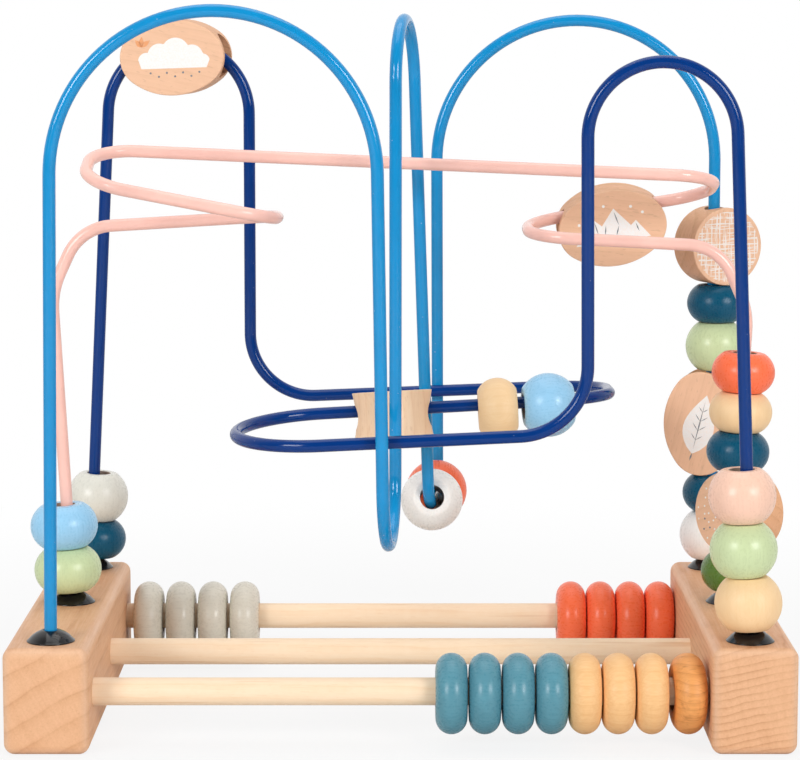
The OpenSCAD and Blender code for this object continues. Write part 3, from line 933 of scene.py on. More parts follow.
@dataclass
class TurnedBead:
    """A painted or bare bead, flat at both ends and bulging to its diameter."""

    node: str
    shape: BeadShape
    finish: Paintwork
    axes: Matrix
    bore: float = 9.6
    flat_share: float = 0.62
    sphere_share: float = 0.95
    ease: float = 0.5
    steps: int = 48
    segments: int = 64

    def outline(self) -> Profile:
        """Give the bead's section."""
        d, h = self.shape.value
        share = min(self.flat_share, self.sphere_share * math.sqrt(1 - (h / d) ** 2))
        drop = d / 2 * (1 - share)
        bulge = (drop ** 2 + (h / 2) ** 2) / (2 * drop)
        half = math.degrees(math.asin(h / 2 / bulge))
        points = arc((d / 2 - bulge, 0), bulge, -half, half, self.steps)
        points += [(self.bore / 2, h / 2), (self.bore / 2, -h / 2)]
        return Profile(points, self.ease, self.bore / 2)

    def build(self) -> bpy.types.Object:
        """Build, place and dress the bead, and return it."""
        bm, marks = self.outline().mesh(self.segments)
        obj = mesh_object(self.node + "_turned", bm, self.dress(), marks)
        obj.matrix_world = Matrix.Translation(centre_of(self.node)) @ self.axes.to_4x4()
        return settle(obj, self.node, self.node)

    def dress(self) -> bpy.types.Material:
        """Give the bead's material."""
        if isinstance(self.finish, WoodFinish):
            return PALETTE.coat(self.finish, "bare_wood_" + self.finish.slot, GrainRun.ALONG_Z)
        return PALETTE.coat(self.finish, self.finish.title())


@dataclass
class RodRing:
    """A thick ring with a fully rounded rim, hung on a rod."""

    node: str
    finish: Paintwork
    turn: float = 0.0
    diameter: float = 30.4
    thickness: float = 12.0
    bore: float = 12.6
    ease: float = 0.4
    steps: int = 40
    segments: int = 72

    def outline(self) -> Profile:
        """Give the ring's section."""
        r, t = self.diameter / 2, self.thickness
        points = arc((r - t / 2, 0), t / 2, -90, 90, self.steps)
        points += [(self.bore / 2, t / 2), (self.bore / 2, -t / 2)]
        return Profile(points, self.ease, self.bore / 2)

    def build(self) -> bpy.types.Object:
        """Build, place and dress the ring, and return it."""
        bm, marks = self.outline().mesh(self.segments)
        obj = mesh_object(self.node + "_turned", bm, self.dress(), marks)
        axes = turned("Z", self.turn) @ turned("Y", 90)
        obj.matrix_world = Matrix.Translation(centre_of(self.node)) @ axes.to_4x4()
        return settle(obj, self.node, self.node)

    def dress(self) -> bpy.types.Material:
        """Give the ring's material."""
        if isinstance(self.finish, WoodFinish):
            name = "ring_amber" if self.finish is AMBER else "ring_honey"
            return PALETTE.coat(self.finish, name, GrainRun.ALONG_Z)
        return PALETTE.coat(self.finish, self.finish.title())


@dataclass
class EndBlock:
    """A beech block with rounded edges."""

    node: str
    heart: Point
    rings: float
    spacing: float
    edge_r: float = 4.0
    edge_gain: float = 3.4
    steps: int = 8

    def build(self) -> bpy.types.Object:
        """Build, place and dress the block, and return it."""
        low, high = box_of(self.node)
        bm = bmesh.new()
        bmesh.ops.create_cube(bm, size=1.0)
        bmesh.ops.scale(bm, vec=high - low, verts=bm.verts)
        bmesh.ops.bevel(bm, geom=bm.edges[:], offset=self.edge_r * MM, segments=self.steps,
                        profile=0.5, affect="EDGES", clamp_overlap=True)
        half = (high - low) / 2
        marks = {"edge": [self.edge_mark(v.co, half) for v in bm.verts]}
        obj = mesh_object(self.node + "_sawn", bm, self.dress(), marks)
        obj.modifiers.new("even_faces", "WEIGHTED_NORMAL").keep_sharp = True
        obj.location = (low + high) / 2
        return settle(obj, self.node, "base")

    def edge_mark(self, at: Vector, half: Vector) -> float:
        """Tell how far round an edge a point lies, from 0 on a face to 1 in its middle."""
        edge_r = self.edge_r * MM
        near = sorted(1 - min(1.0, (half[k] - abs(at[k])) / edge_r) for k in range(3))
        return max(0.0, min(1.0, self.edge_gain * min(1 - near[2], near[1])))

    def dress(self) -> bpy.types.Material:
        """Give the block's own cut of beech."""
        finish = replace(
            BLOCK_BEECH, heart=self.heart, rings=self.rings, spacing=self.spacing)
        return PALETTE.coat(finish, "beech_" + self.node, GrainRun.ALONG_Y)


@dataclass
class Dowel:
    """A straight maple rod between the blocks."""

    node: str
    segments: int = 48
    chamfer: float = 0.6
    sharp: float = 30.0

    def build(self) -> bpy.types.Object:
        """Build, place and dress the rod, and return it."""
        low, high = box_of(self.node)
        half, r = (high.x - low.x) / MM / 2, (high.y - low.y) / 2 / MM
        c = self.chamfer
        stops = [(r - c, -half), (r, -half + c), (r, half - c), (r - c, half)]
        bm = bmesh.new()
        skin(bm, [round_row(bm, q, z, self.segments) for q, z in stops])
        material = PALETTE.coat(MAPLE, "maple_dowel", GrainRun.ALONG_Z)
        obj = mesh_object(self.node + "_dowel", bm, material, sharp=self.sharp)
        obj.matrix_world = Matrix.Translation((low + high) / 2) @ turned("Y", 90).to_4x4()
        return settle(obj, self.node, "base")


@dataclass
class Collar:
    """A black moulded dome that a wire stands in."""

    node: str
    bore: float = 5.0
    rim: float = 0.7
    rim_share: float = 0.5
    lip: float = 0.5
    throat: float = 0.4
    throat_drop: float = 0.75
    wall_drop: float = 0.9
    ease: float = 0.2
    steps: int = 24
    segments: int = 56

    def build(self) -> bpy.types.Object:
        """Build, place and dress the dome, and return it."""
        low, high = box_of(self.node)
        r, h = (high.x - low.x) / 2 / MM, (high.z - low.z) / MM
        dome = (r ** 2 + h ** 2) / (2 * h)
        start = math.degrees(math.asin((self.rim + dome - h) / dome))
        end = math.degrees(math.acos((self.bore / 2 + self.lip) / dome))
        points = [(self.bore / 2, 0.0), (r, 0.0), (r, self.rim * self.rim_share)]
        points += arc((0, h - dome), dome, start, end, self.steps)
        points.append((self.bore / 2 + self.throat, h - self.throat_drop))
        points.append((self.bore / 2, h - self.wall_drop))
        bm, marks = Profile(points, self.ease).mesh(self.segments)
        obj = mesh_object(self.node + "_moulded", bm, PALETTE.coat(BLACK, "black_plastic"), marks)
        obj.location = ((low.x + high.x) / 2, (low.y + high.y) / 2, low.z)
        return settle(obj, self.node, "base")


@dataclass
class WireRoute:
    """A bent wire's corners and bends, in millimetres."""

    x_shares: list[float]
    y_shares: list[float]
    heights: list[float]
    bends: list[float]
    post_x: float = 130.0
    row_y: float = 72.0
    turn_step: float = 3.0
    least_step: float = 0.01

    def corners(self) -> list[Vector]:
        """Give the points at which the wire's straight runs would meet."""
        return [Vector((self.post_x * x, self.row_y * y, z))
                for x, y, z in zip(self.x_shares, self.y_shares, self.heights)]

    def heading(self, i: int) -> Vector:
        """Give the direction from one corner to the next."""
        corners = self.corners()
        return (corners[i + 1] - corners[i]).normalized()

    def leg(self, low: int, high: int) -> Matrix:
        """Give the axes of the run between two corners, counted from the left foot."""
        corners = self.corners()
        return frame_along((corners[high] - corners[low]).normalized())

    def setback_share(self, i: int) -> float:
        """Give a bend's setback for each unit of its radius."""
        if i <= 0 or i >= len(self.heights) - 1:
            return 0.0
        return math.tan(self.heading(i - 1).angle(self.heading(i)) / 2)

    def radius(self, i: int) -> float:
        """Give a bend's radius, limited by the runs on both sides."""
        corners = self.corners()
        share = self.setback_share(i)
        limits = [(corners[j] - corners[i]).length / (share + self.setback_share(j))
                  for j in (i - 1, i + 1)]
        return min(self.bends[i - 1], *limits)

    def path(self) -> list[Vector]:
        """Give points along the wire, with its bends in even steps."""
        corners = self.corners()
        points = [corners[0]]
        for i in range(1, len(corners) - 1):
            into, out = self.heading(i - 1), self.heading(i)
            angle = into.angle(out)
            r = self.radius(i)
            centre = corners[i] + (out - into).normalized() * r / math.cos(angle / 2)
            spoke = corners[i] - into * r * math.tan(angle / 2) - centre
            axis = into.cross(out).normalized()
            count = max(2, math.ceil(math.degrees(angle) / self.turn_step))
            for k in range(count + 1):
                at = centre + Matrix.Rotation(angle * k / count, 3, axis) @ spoke
                if (at - points[-1]).length > self.least_step:
                    points.append(at)
        return points + [corners[-1]]


@dataclass
class BentWire:
    """An enamelled wire swept along its route."""

    node: str
    route: WireRoute
    finish: EnamelFinish
    diameter: float = 4.8
    segments: int = 24

    def build(self) -> bpy.types.Object:
        """Build, place and dress the wire, and return it."""
        path = self.route.path()
        bm = bmesh.new()
        side = (path[1] - path[0]).normalized().orthogonal().normalized()
        turns = [2 * math.pi * k / self.segments for k in range(self.segments)]
        rows = []
        for i, at in enumerate(path):
            ahead = (path[min(i + 1, len(path) - 1)] - at).normalized()
            behind = (at - path[max(i - 1, 0)]).normalized()
            tangent = (ahead + behind).normalized()
            side = (side - tangent * side.dot(tangent)).normalized()
            other = tangent.cross(side)
            spokes = [side * math.cos(t) + other * math.sin(t) for t in turns]
            rows.append([bm.verts.new((at + spoke * self.diameter / 2) * MM) for spoke in spokes])
        skin(bm, rows)
        material = PALETTE.coat(self.finish, "enamel_" + self.finish.slot)
        obj = mesh_object(self.node + "_bent", bm, material)
        return settle(obj, self.node, "base")


# Heights above the floor, then radii of the wires' bends, then rises above the blocks
BLOCK_TOP = 40.0
FOOT_Z = 27.0
KNEE_Z = 47.9
WIDE_BEND = 293.0
FRONT_KNEE_BEND = 225.0
DIP_BEND = 12.5
DARK_KNEE_BENDS = (56.0, 74.0)
STRAND_BEND = 26.0
STRAND_TURN_BEND = 35.0
PINK_BENDS = [55.0, 45.0, 20.0]
LOOP_BEND = 17.0
ARCH_RISE = 219.5
FRONT_ARCH_SHARE = 0.975
STRAND_RISE = 76.0
PINK_RISE = 179.0


def light_route() -> WireRoute:
    """Give the light blue wire: three arches with two dips."""
    rises = [rise for rise in (232.5, 32.0, 229.0, 33.5, 228.5) for _ in range(2)]
    return WireRoute(
        [-1, -1, -0.98, -0.072, -0.048, -0.0155, -0.014, 0.037, 0.088, 0.12, 0.114, 1, 1],
        [-1, -1, -1, -1, -1, -0.333, -0.333, 0.333, 0.333, 1, 1, 1, 1],
        [FOOT_Z, KNEE_Z] + [BLOCK_TOP + rise for rise in rises] + [FOOT_Z],
        [FRONT_KNEE_BEND] + [WIDE_BEND] * 6 + [DIP_BEND] * 2 + [WIDE_BEND] * 2)


def dark_route() -> WireRoute:
    """Give the dark blue wire: an arch at each end and three level strands."""
    levels = [STRAND_RISE * share for share in (0.957, 1.031, 1.075, 0.968, 0.932, 1.014)]
    rises = [ARCH_RISE] * 2 + levels + [ARCH_RISE * FRONT_ARCH_SHARE] * 2
    strand_bends = [STRAND_BEND] * 3 + [STRAND_TURN_BEND] * 2 + [STRAND_BEND]
    arch_bends = [WIDE_BEND] * 2
    return WireRoute(
        [-1, -1, -0.915, -0.479, -0.479, 0.644, 0.644,
         -0.483, -0.483, 0.534, 0.524, 0.938, 1, 1],
        [1, 1, 0.97, 0.96, 0.915, 0.915, 0, 0, -0.915, -0.915, -0.96, -0.97, -1, -1],
        [FOOT_Z, KNEE_Z] + [BLOCK_TOP + rise for rise in rises] + [KNEE_Z, FOOT_Z],
        [DARK_KNEE_BENDS[0]] + arch_bends + strand_bends + arch_bends + [DARK_KNEE_BENDS[1]])


def pink_route() -> WireRoute:
    """Give the pink wire: a long strand with a level loop at each end."""
    shares = [0.69, 0.83, 0.856, 0.864, 0.942, 1, 0.94, 0.888, 0.825, 0.81, 0.789, 0.647]
    return WireRoute(
        [-1, -1, -1.049, -0.96, -0.364, -0.364, -0.92, -0.92,
         0.95, 0.95, 0.39, 0.39, 0.959, 1.045, 1, 1],
        [0, 0, 0, 0, 0, -0.555, -0.555, 0, 0, 0.555, 0.555, 0, 0, 0, 0, 0],
        [FOOT_Z, KNEE_Z] + [BLOCK_TOP + PINK_RISE * share for share in shares] + [KNEE_Z, FOOT_Z],
        PINK_BENDS + [LOOP_BEND] * 8 + PINK_BENDS[::-1])


def carve(body: bpy.types.Object, cutter: bmesh.types.BMesh) -> None:
    """Cut a hole through a piece, which keeps its material and its seed.

    Args:
        body: The piece, at the origin.
        cutter: A closed mesh of the hole, which is freed.
    """
    mesh = bpy.data.meshes.new("cutter")
    cutter.to_mesh(mesh)
    cutter.free()
    tool = bpy.data.objects.new("cutter", mesh)
    bpy.context.scene.collection.objects.link(tool)
    seed = body.data.attributes["piece_seed"].data[0].value
    material = body.data.materials[0]
    cut = body.modifiers.new("cut", "BOOLEAN")
    cut.operation = "DIFFERENCE"
    cut.solver = "EXACT"
    cut.object = tool
    depsgraph = bpy.context.evaluated_depsgraph_get()
    done = bpy.data.meshes.new_from_object(body.evaluated_get(depsgraph))
    body.modifiers.clear()
    body.data = done
    done.materials.clear()
    done.materials.append(material)
    for polygon in done.polygons:
        polygon.material_index = 0
    bpy.data.objects.remove(tool)
    done.attributes["piece_seed"].data.foreach_set("value", [seed] * len(done.vertices))
    done.shade_smooth()
    done.set_sharp_from_angle(angle=math.radians(CUT_SHARP))
    body.modifiers.new("even_faces", "WEIGHTED_NORMAL").keep_sharp = True


def prism(outline: list[Point], half: float) -> bmesh.types.BMesh:
    """Make a closed prism along Z.

    Args:
        outline: Its section in X and Y, in millimetres.
        half: Half of its length, in millimetres.

    Returns:
        The mesh in metres.
    """
    bm = bmesh.new()
    skin(bm, [[bm.verts.new(Vector((u, v, depth)) * MM) for u, v in outline]
              for depth in (-half, half)])
    bmesh.ops.recalc_face_normals(bm, faces=bm.faces)
    return bm


def bore_tool(bore: float, radius: float) -> bmesh.types.BMesh:
    """Make the closed mesh of a round hole along Z, right through a piece of some radius."""
    return prism(circle((0, 0), bore / 2, BORE_STEPS), radius * CUT_OVERRUN)


def soft_prism(outline: list[Point], half: float, ease: float,
               steps: int = 3) -> tuple[bmesh.types.BMesh, list[float]]:
    """Make a prism along Y with rounded rims.

    Args:
        outline: Its section in X and Z, in millimetres.
        half: Half of its thickness, in millimetres.
        ease: Radius of the rims, in millimetres.
        steps: Faces round each rim.

    Returns:
        The mesh in metres, and the rim mark of each vertex.
    """
    bm = bmesh.new()
    levels = []
    for k in range(steps + 1):
        a = math.pi / 2 * k / steps
        levels.append((-half + ease * (1 - math.sin(a)), ease * (1 - math.cos(a))))
    levels = levels[::-1] + [(-y, inset) for y, inset in levels]
    inward = section_normals(outline)
    rows, marks = [], []
    for y, inset in levels:
        rows.append([bm.verts.new(Vector((u + n[0] * inset, y, v + n[1] * inset)) * MM)
                     for (u, v), n in zip(outline, inward)])
        marks += [1.0 if 0 < inset < ease else 0.0] * len(outline)
    skin(bm, rows)
    return bm, marks


def section_normals(outline: list[Point]) -> list[Point]:
    """Give the inward direction at each point of a closed section that runs anticlockwise."""
    result = []
    for k in range(len(outline)):
        (ax, ay), (bx, by) = outline[k - 1], outline[(k + 1) % len(outline)]
        length = math.hypot(bx - ax, by - ay)
        result.append((-(by - ay) / length, (bx - ax) / length))
    return result


@dataclass
class RoundDisc:
    """A thick round disc with a pattern printed on its faces and a bore across it."""

    node: str
    face: Print
    axes: Matrix
    diameter: float = 32.0
    thickness: float = 17.0
    bore: float = 11.2
    ease: float = 0.5
    print_depth: float = 0.2
    print_margin: float = 1.6
    segments: int = 96

    def build(self) -> bpy.types.Object:
        """Build, place and dress the disc, and return it."""
        r = self.diameter / 2
        bm, rim = soft_prism(circle((0, 0), r, self.segments), self.thickness / 2, self.ease)
        size = (self.thickness / 2 - self.print_depth, r - self.print_margin)
        run = GrainRun.LEANING if self.face is Print.HATCH else GrainRun.CROSSING
        name = "disc_" + self.face.name.lower()
        material = PALETTE.coat(DISC_BEECH, name, run, self.face, size)
        obj = mesh_object(self.node + "_cut", bm, material, {"edge": rim})
        carve(obj, bore_tool(self.bore, r))
        obj.matrix_world = Matrix.Translation(centre_of(self.node)) @ self.axes.to_4x4()
        return settle(obj, self.node, self.node)


class Motif(Enum):
    """Pictures printed on the oval discs."""

    CLOUD = 0
    PEAKS = 1
    LEAF = 2


@dataclass
class OvalDisc:
    """A thick oval disc with a slot along it and a picture printed on both faces."""

    node: str
    motif: Motif
    axes: Matrix
    lying: bool
    run: GrainRun
    length: float = 43.6
    width: float = 31.0
    thickness: float = 16.5
    slot_h: float = 18.0
    slot_w: float = 12.0
    end_share: float = 0.4
    ease: float = 0.5
    oval_steps: int = 30
    slot_steps: int = 24

    def oval(self) -> list[Point]:
        """Give the oval of four arcs, anticlockwise in X and Z, long along Z."""
        end_r = self.width * self.end_share
        end_z = self.length / 2 - end_r
        half = self.width / 2
        side_r = (end_z ** 2 + half ** 2 - end_r ** 2) / (2 * (half - end_r))
        meet = math.degrees(math.atan2(end_z, side_r - half))
        right = arc((half - side_r, 0), side_r, -meet, meet, self.oval_steps)
        top = arc((0, end_z), end_r, meet, 180 - meet, self.oval_steps)
        left = [(-x, -z) for x, z in right]
        bottom = [(-x, -z) for x, z in top]
        return right[:-1] + top[:-1] + left[:-1] + bottom[:-1]

    def build(self) -> bpy.types.Object:
        """Build, place and dress the disc and its pictures, and return it."""
        bm, rim = soft_prism(self.oval(), self.thickness / 2, self.ease)
        material = PALETTE.coat(DISC_BEECH, "disc_" + self.motif.name.lower(), self.run)
        obj = mesh_object(self.node + "_cut", bm, material, {"edge": rim})
        reach = (self.slot_h - self.slot_w) / 2
        slot = arc((reach, 0), self.slot_w / 2, -90, 90, self.slot_steps)
        slot += arc((-reach, 0), self.slot_w / 2, 90, 270, self.slot_steps)
        carve(obj, prism(slot, self.length))
        obj.matrix_world = Matrix.Translation(centre_of(self.node)) @ self.axes.to_4x4()
        settle(obj, self.node, self.node)
        FacePicture(obj, self.motif, self.thickness / 2, self.lying).build()
        return obj


@dataclass
class FacePicture:
    """A picture in thin ink on both faces of an oval disc."""

    disc: bpy.types.Object
    motif: Motif
    depth: float
    lying: bool
    ink_t: float = 0.05
    line_w: float = 0.5
    sharp: float = 20.0
    dot_steps: int = 16
    blade_steps: int = 12
    blade_power: float = 0.8

    def shapes(self) -> list[tuple[str, list[Point]]]:
        """Give the picture's shapes as ink names and outlines, in millimetres."""
        if self.motif is Motif.CLOUD:
            return self.cloud()
        return self.peaks() if self.motif is Motif.PEAKS else self.leaf()

    def dot(self, at: Point, radius: float) -> list[Point]:
        """Give a small round dot."""
        return circle(at, radius, self.dot_steps)

    @staticmethod
    def reached(start: Point, angle: float, length: float) -> Point:
        """Give the point at some angle, in degrees, and length from a start."""
        turn = math.radians(angle)
        return (start[0] + math.cos(turn) * length, start[1] + math.sin(turn) * length)

    @staticmethod
    def stroke(a: Point, b: Point, width: float) -> list[Point]:
        """Give a thin straight stroke with pointed ends."""
        dx, dy = b[0] - a[0], b[1] - a[1]
        length = math.hypot(dx, dy)
        nx, ny = -dy / length * width / 2, dx / length * width / 2
        mid = ((a[0] + b[0]) / 2, (a[1] + b[1]) / 2)
        return [a, (mid[0] - nx, mid[1] - ny), b, (mid[0] + nx, mid[1] + ny)]

    def blade(self, root: Point, angle: float, length: float, width: float) -> list[Point]:
        """Give a pointed leaf from its root, at an angle in degrees."""
        c, s = math.cos(math.radians(angle)), math.sin(math.radians(angle))
        points = []
        for k in range(2 * self.blade_steps):
            t = k / self.blade_steps
            along, side = (t, 1) if t <= 1 else (2 - t, -1)
            out = width / 2 * math.sin(math.pi * along ** self.blade_power) * side
            points.append((root[0] + c * along * length + s * out,
                           root[1] + s * along * length - c * out))
        return points

    def cloud(self) -> list[tuple[str, list[Point]]]:
        """Draw a low cloud with a fall of dots and three small leaves."""
        lobes = [(-10.5, -1.4, 3.6), (-5.0, 0.8, 5.0), (1.8, 2.2, 5.8),
                 (8.6, 0.4, 4.6), (13.0, -1.8, 3.0)]
        base, left, right, count = -4.4, -14.0, 15.9, 72
        side_rise, left_ease, right_ease = 1.2, 1.2, 1.4
        drops, drop_x, drop_z, drop_gap, drop_fall, drop_r = 7, -9.0, -6.2, 3.4, 1.5, 0.42
        twig, blade_l, blade_less, blade_w = (-12.5, 4.6), 4.6, 0.4, 1.9
        top = []
        for k in range(count + 1):
            u = left + (right - left) * k / count
            heights = [z + math.sqrt(max(0.0, r * r - (u - x) ** 2))
                       for x, z, r in lobes if abs(u - x) <= r]
            top.append((u, max(heights + [base + side_rise])))
        bottom = [(left + left_ease, base), (right - right_ease, base)]
        shapes = [("white", bottom + top[::-1])]
        for i in range(drops):
            at = (drop_x + drop_gap * i, drop_z - drop_fall * (i % 2))
            shapes.append(("slate", self.dot(at, drop_r)))
        for i, angle in enumerate((35, 85, 130)):
            leaf = self.blade(twig, angle, blade_l - blade_less * i, blade_w)
            shapes.append(("orange", leaf))
        return shapes

    def peaks(self) -> list[tuple[str, list[Point]]]:
        """Draw a row of snowy peaks with creases and a dotted sky."""
        ridge = [(-15.5, -5.2), (14.8, -5.2), (9.6, 2.2), (7.4, 0.4),
                 (1.2, 8.2), (-4.2, 1.6), (-7.2, 4.6)]
        creases = [((1.2, 7.0), (2.6, 1.0)), ((2.6, 1.0), (1.0, -3.4)), ((-7.0, 3.6), (-6.0, -1.8)),
                   ((9.4, 1.2), (10.4, -2.6)), ((-2.6, 1.8), (-3.4, -2.6))]
        stars = [(-11.0, 6.6), (-13.2, 3.4), (-2.6, 9.6), (8.2, 8.0), (12.6, 5.0)]
        ridge_step, star_r = 0.6, 0.6
        shapes = [("white", Profile(ridge).dense(ridge_step))]
        shapes += [("slate", self.stroke(a, b, self.line_w)) for a, b in creases]
        shapes += [("white", self.dot(at, star_r)) for at in stars]
        return shapes

    def leaf(self) -> list[tuple[str, list[Point]]]:
        """Draw one broad leaf with its veins and its stalk."""
        root, lean, length, width = (-3.4, -12.6), 76.0, 25.5, 13.0
        spine_start, spine_end = 2.0, 23.0
        vein_reach, vein_fall, vein_middle, vein_angle, vein_w = 4.2, 0.03, 11.0, 46.0, 0.36
        stalk_foot, stalk_top, stalk_w = (-4.4, -15.6), (-3.3, -12.2), 0.7
        spine = [self.reached(root, lean, t) for t in (spine_start, spine_end)]
        shapes = [("white", self.blade(root, lean, length, width)),
                  ("slate", self.stroke(spine[0], spine[1], self.line_w))]
        for t in (6.0, 10.0, 14.0, 18.0):
            start = self.reached(root, lean, t)
            reach = vein_reach - vein_fall * (t - vein_middle) ** 2
            for side in (-1, 1):
                tip = self.reached(start, lean - side * vein_angle, reach)
                shapes.append(("slate", self.stroke(start, tip, vein_w)))
        shapes.append(("slate", self.stroke(stalk_foot, stalk_top, stalk_w)))
        return shapes

    def build(self) -> None:
        """Lay the picture on both faces as closed films of ink that ride with the disc."""
        shapes = self.shapes()
        for ink in sorted({name for name, _ in shapes}):
            bm = bmesh.new()
            # Slate is printed over white, so its film is thicker
            thickness = self.ink_t * (2 if ink == "slate" else 1)
            for outline in [outline for name, outline in shapes if name == ink]:
                for side in (-1, 1):
                    self.film(bm, outline, side, thickness)
            material = PALETTE.coat(INKS[ink], "ink_" + ink)
            film = mesh_object(f"{self.disc.name}_{ink}_print", bm, material, sharp=self.sharp)
            film.parent = self.disc
            LOG.info("%s lies on %s", film.name, self.disc.name)

    def film(self, bm: bmesh.types.BMesh, outline: list[Point], side: int,
             thickness: float) -> None:
        """Add one closed film of ink to a mesh.

        Args:
            bm: The mesh.
            outline: The film's outline.
            side: -1 for the front face and 1 for the back face, which sees the picture mirrored.
            thickness: How far the film stands off the face.
        """
        rows = []
        for out in (self.depth - self.ink_t, self.depth + thickness):
            row = []
            for u, v in outline:
                x, z = (-v, u) if self.lying else (u, v)
                row.append(bm.verts.new(Vector((x, side * out, z)) * MM))
            rows.append(row)
        skin(bm, rows)


@dataclass
class Spool:
    """A beech spool with a hollow waist and a bore across it."""

    node: str
    axes: Matrix
    diameter: float = 31.5
    height: float = 19.0
    waist: float = 1.2
    bore: float = 10.0
    core: float = 0.4
    core_ease: float = 1.0
    ease: float = 0.35
    steps: int = 20
    segments: int = 72

    def build(self) -> bpy.types.Object:
        """Build, place and dress the spool, and return it."""
        r, h = self.diameter / 2, self.height
        hollow = ((h / 2) ** 2 + self.waist ** 2) / (2 * self.waist)
        half = math.degrees(math.asin(h / 2 / hollow))
        wall = arc((r - self.waist + hollow, 0), hollow, 180 + half, 180 - half, self.steps)
        core = [(self.core, h / 2), (self.core, -h / 2)]
        bm = bmesh.new()
        rows, marks = [], []
        for (q, z), mark in Profile(wall + core, self.ease).eased():
            if q > self.core + self.core_ease:
                rows.append(round_row(bm, q, z, self.segments))
                marks += [mark] * self.segments
        # The first row is the innermost one of the lower end
        start = min(range(len(rows)), key=lambda i: (rows[i][0].co.z > 0, rows[i][0].co.x))
        skin(bm, rows[start:] + rows[:start])
        material = PALETTE.coat(SPOOL_BEECH, "spool_beech", GrainRun.ALONG_Z)
        obj = mesh_object(self.node + "_turned", bm, material, {"edge": marks})
        hole = bore_tool(self.bore, r)
        bmesh.ops.rotate(hole, matrix=turned("Y", 90), verts=hole.verts)
        carve(obj, hole)
        obj.matrix_world = Matrix.Translation(centre_of(self.node)) @ self.axes.to_4x4()
        return settle(obj, self.node, self.node)


@dataclass
class Base:
    """The two blocks, the three rods, the six collars and the three wires."""

    light: WireRoute
    dark: WireRoute
    pink: WireRoute

    def build(self) -> None:
        """Build all that stands still."""
        EndBlock("left_block", heart=(95.0, -170.0), rings=0.4, spacing=8.5).build()
        EndBlock("right_block", heart=(52.0, -245.0), rings=0.6, spacing=2.7).build()
        for row in ("front", "middle", "back"):
            Dowel(row + "_rod").build()
            for side in ("left", "right"):
                Collar(f"{side}_{row}_collar").build()
        for name, route in (("light", self.light), ("dark", self.dark), ("pink", self.pink)):
            BentWire(name + "_wire", route, WIRES[name]).build()


@dataclass
class RodRings:
    """The rings on the front and back rods."""

    amber_turn: float = 4.5

    def build(self) -> None:
        """Build the grey, coral, amber, honey and dusty teal rings."""
        for i in range(1, 5):
            RodRing(f"grey_ring_{i}", PAINTS["grey"]).build()
            RodRing(f"coral_ring_{i}", PAINTS["coral"]).build()
        front = [AMBER] + [HONEY] * 3 + [PAINTS["dusty_teal"]] * 4
        for i, finish in enumerate(front, 1):
            RodRing(f"front_ring_{i}", finish, self.amber_turn if i == 1 else 0.0).build()


@dataclass
class PostStacks:
    """The beads and discs stacked on the wires' legs."""

    light: WireRoute
    dark: WireRoute
    pink: WireRoute
    dotted_turn: float = -50.0
    hatched_turn: float = 23.0
    upright_turn: float = -16.0

    @staticmethod
    def beads(stack: str, axes: Matrix, rows: dict[int, tuple[BeadShape, Paintwork]]) -> None:
        """Build the turned beads of one stack, by their place from the collar up."""
        for place, (shape, finish) in rows.items():
            TurnedBead(f"{stack}_bead_{place}", shape, finish, axes).build()

    def build(self) -> None:
        """Build the five stacks."""
        ball, flat, wide = BeadShape.BALL, BeadShape.FLAT, BeadShape.WIDE
        self.beads("left_middle", self.pink.leg(1, 2),
                   {1: (wide, PAINTS["pale_green"]), 2: (wide, PAINTS["pale_blue"])})
        self.beads("left_back", self.dark.leg(1, 2),
                   {1: (flat, PAINTS["teal"]), 2: (ball, PAINTS["white"])})
        self.beads("right_front", self.dark.leg(12, 11),
                   {1: (ball, NATURAL), 2: (ball, PAINTS["pale_green"]),
                    3: (ball, PAINTS["pale_pink"])})
        middle = self.pink.leg(14, 13)
        self.beads("right_middle", middle, {1: (flat, PAINTS["moss"]), 3: (flat, PAINTS["teal"]),
                                            4: (flat, NATURAL), 5: (flat, PAINTS["coral"])})
        RoundDisc("right_middle_bead_2", Print.DOTS, middle @ turned("Z", self.dotted_turn)).build()
        back = self.light.leg(12, 11)
        self.beads("right_back", back,
                   {1: (ball, PAINTS["bright_white"]), 2: (flat, PAINTS["teal"]),
                    4: (ball, PAINTS["pale_green"]), 5: (flat, PAINTS["teal"])})
        OvalDisc("right_back_bead_3", Motif.LEAF, back @ turned("Z", self.upright_turn), False,
                 GrainRun.LEANING).build()
        RoundDisc("right_back_bead_6", Print.HATCH, back @ turned("Z", self.hatched_turn)).build()


@dataclass
class WireRiders:
    """The pieces that hang on the wires' strands, arch, loop and dip."""

    dark: WireRoute
    pink: WireRoute
    ball_turn: float = 5.0
    spool_roll: float = -8.0
    arch_turn: float = 9.2
    arch_swing: float = -2.0
    loop_roll: float = 8.0
    dip_tilt: float = 15.0

    def build(self) -> None:
        """Build the strand's pieces, the two hung discs and the two balls in the dip."""
        ball = BeadShape.BALL
        strand = self.dark.leg(7, 6)
        ball_axes = strand @ turned("X", -self.ball_turn)
        TurnedBead("strand_ball", ball, PAINTS["pale_blue"], ball_axes).build()
        TurnedBead("strand_bead", BeadShape.FLAT, NATURAL, strand).build()
        Spool("strand_spool", strand @ turned("Z", self.spool_roll) @ turned("Y", -90)).build()
        arch = turned("Y", 90 + self.arch_swing) @ turned("X", self.arch_turn)
        OvalDisc("arch_disc", Motif.CLOUD, arch, True, GrainRun.LEANING).build()
        loop = self.pink.leg(10, 9) @ turned("Z", self.loop_roll)
        OvalDisc("loop_disc", Motif.PEAKS, loop, True, GrainRun.LEANING).build()
        for side, name, paint in ((-1, "front", "bright_white"), (1, "back", "coral")):
            axes = turned("X", 90 + side * self.dip_tilt)
            TurnedBead("dip_ball_" + name, ball, PAINTS[paint], axes).build()


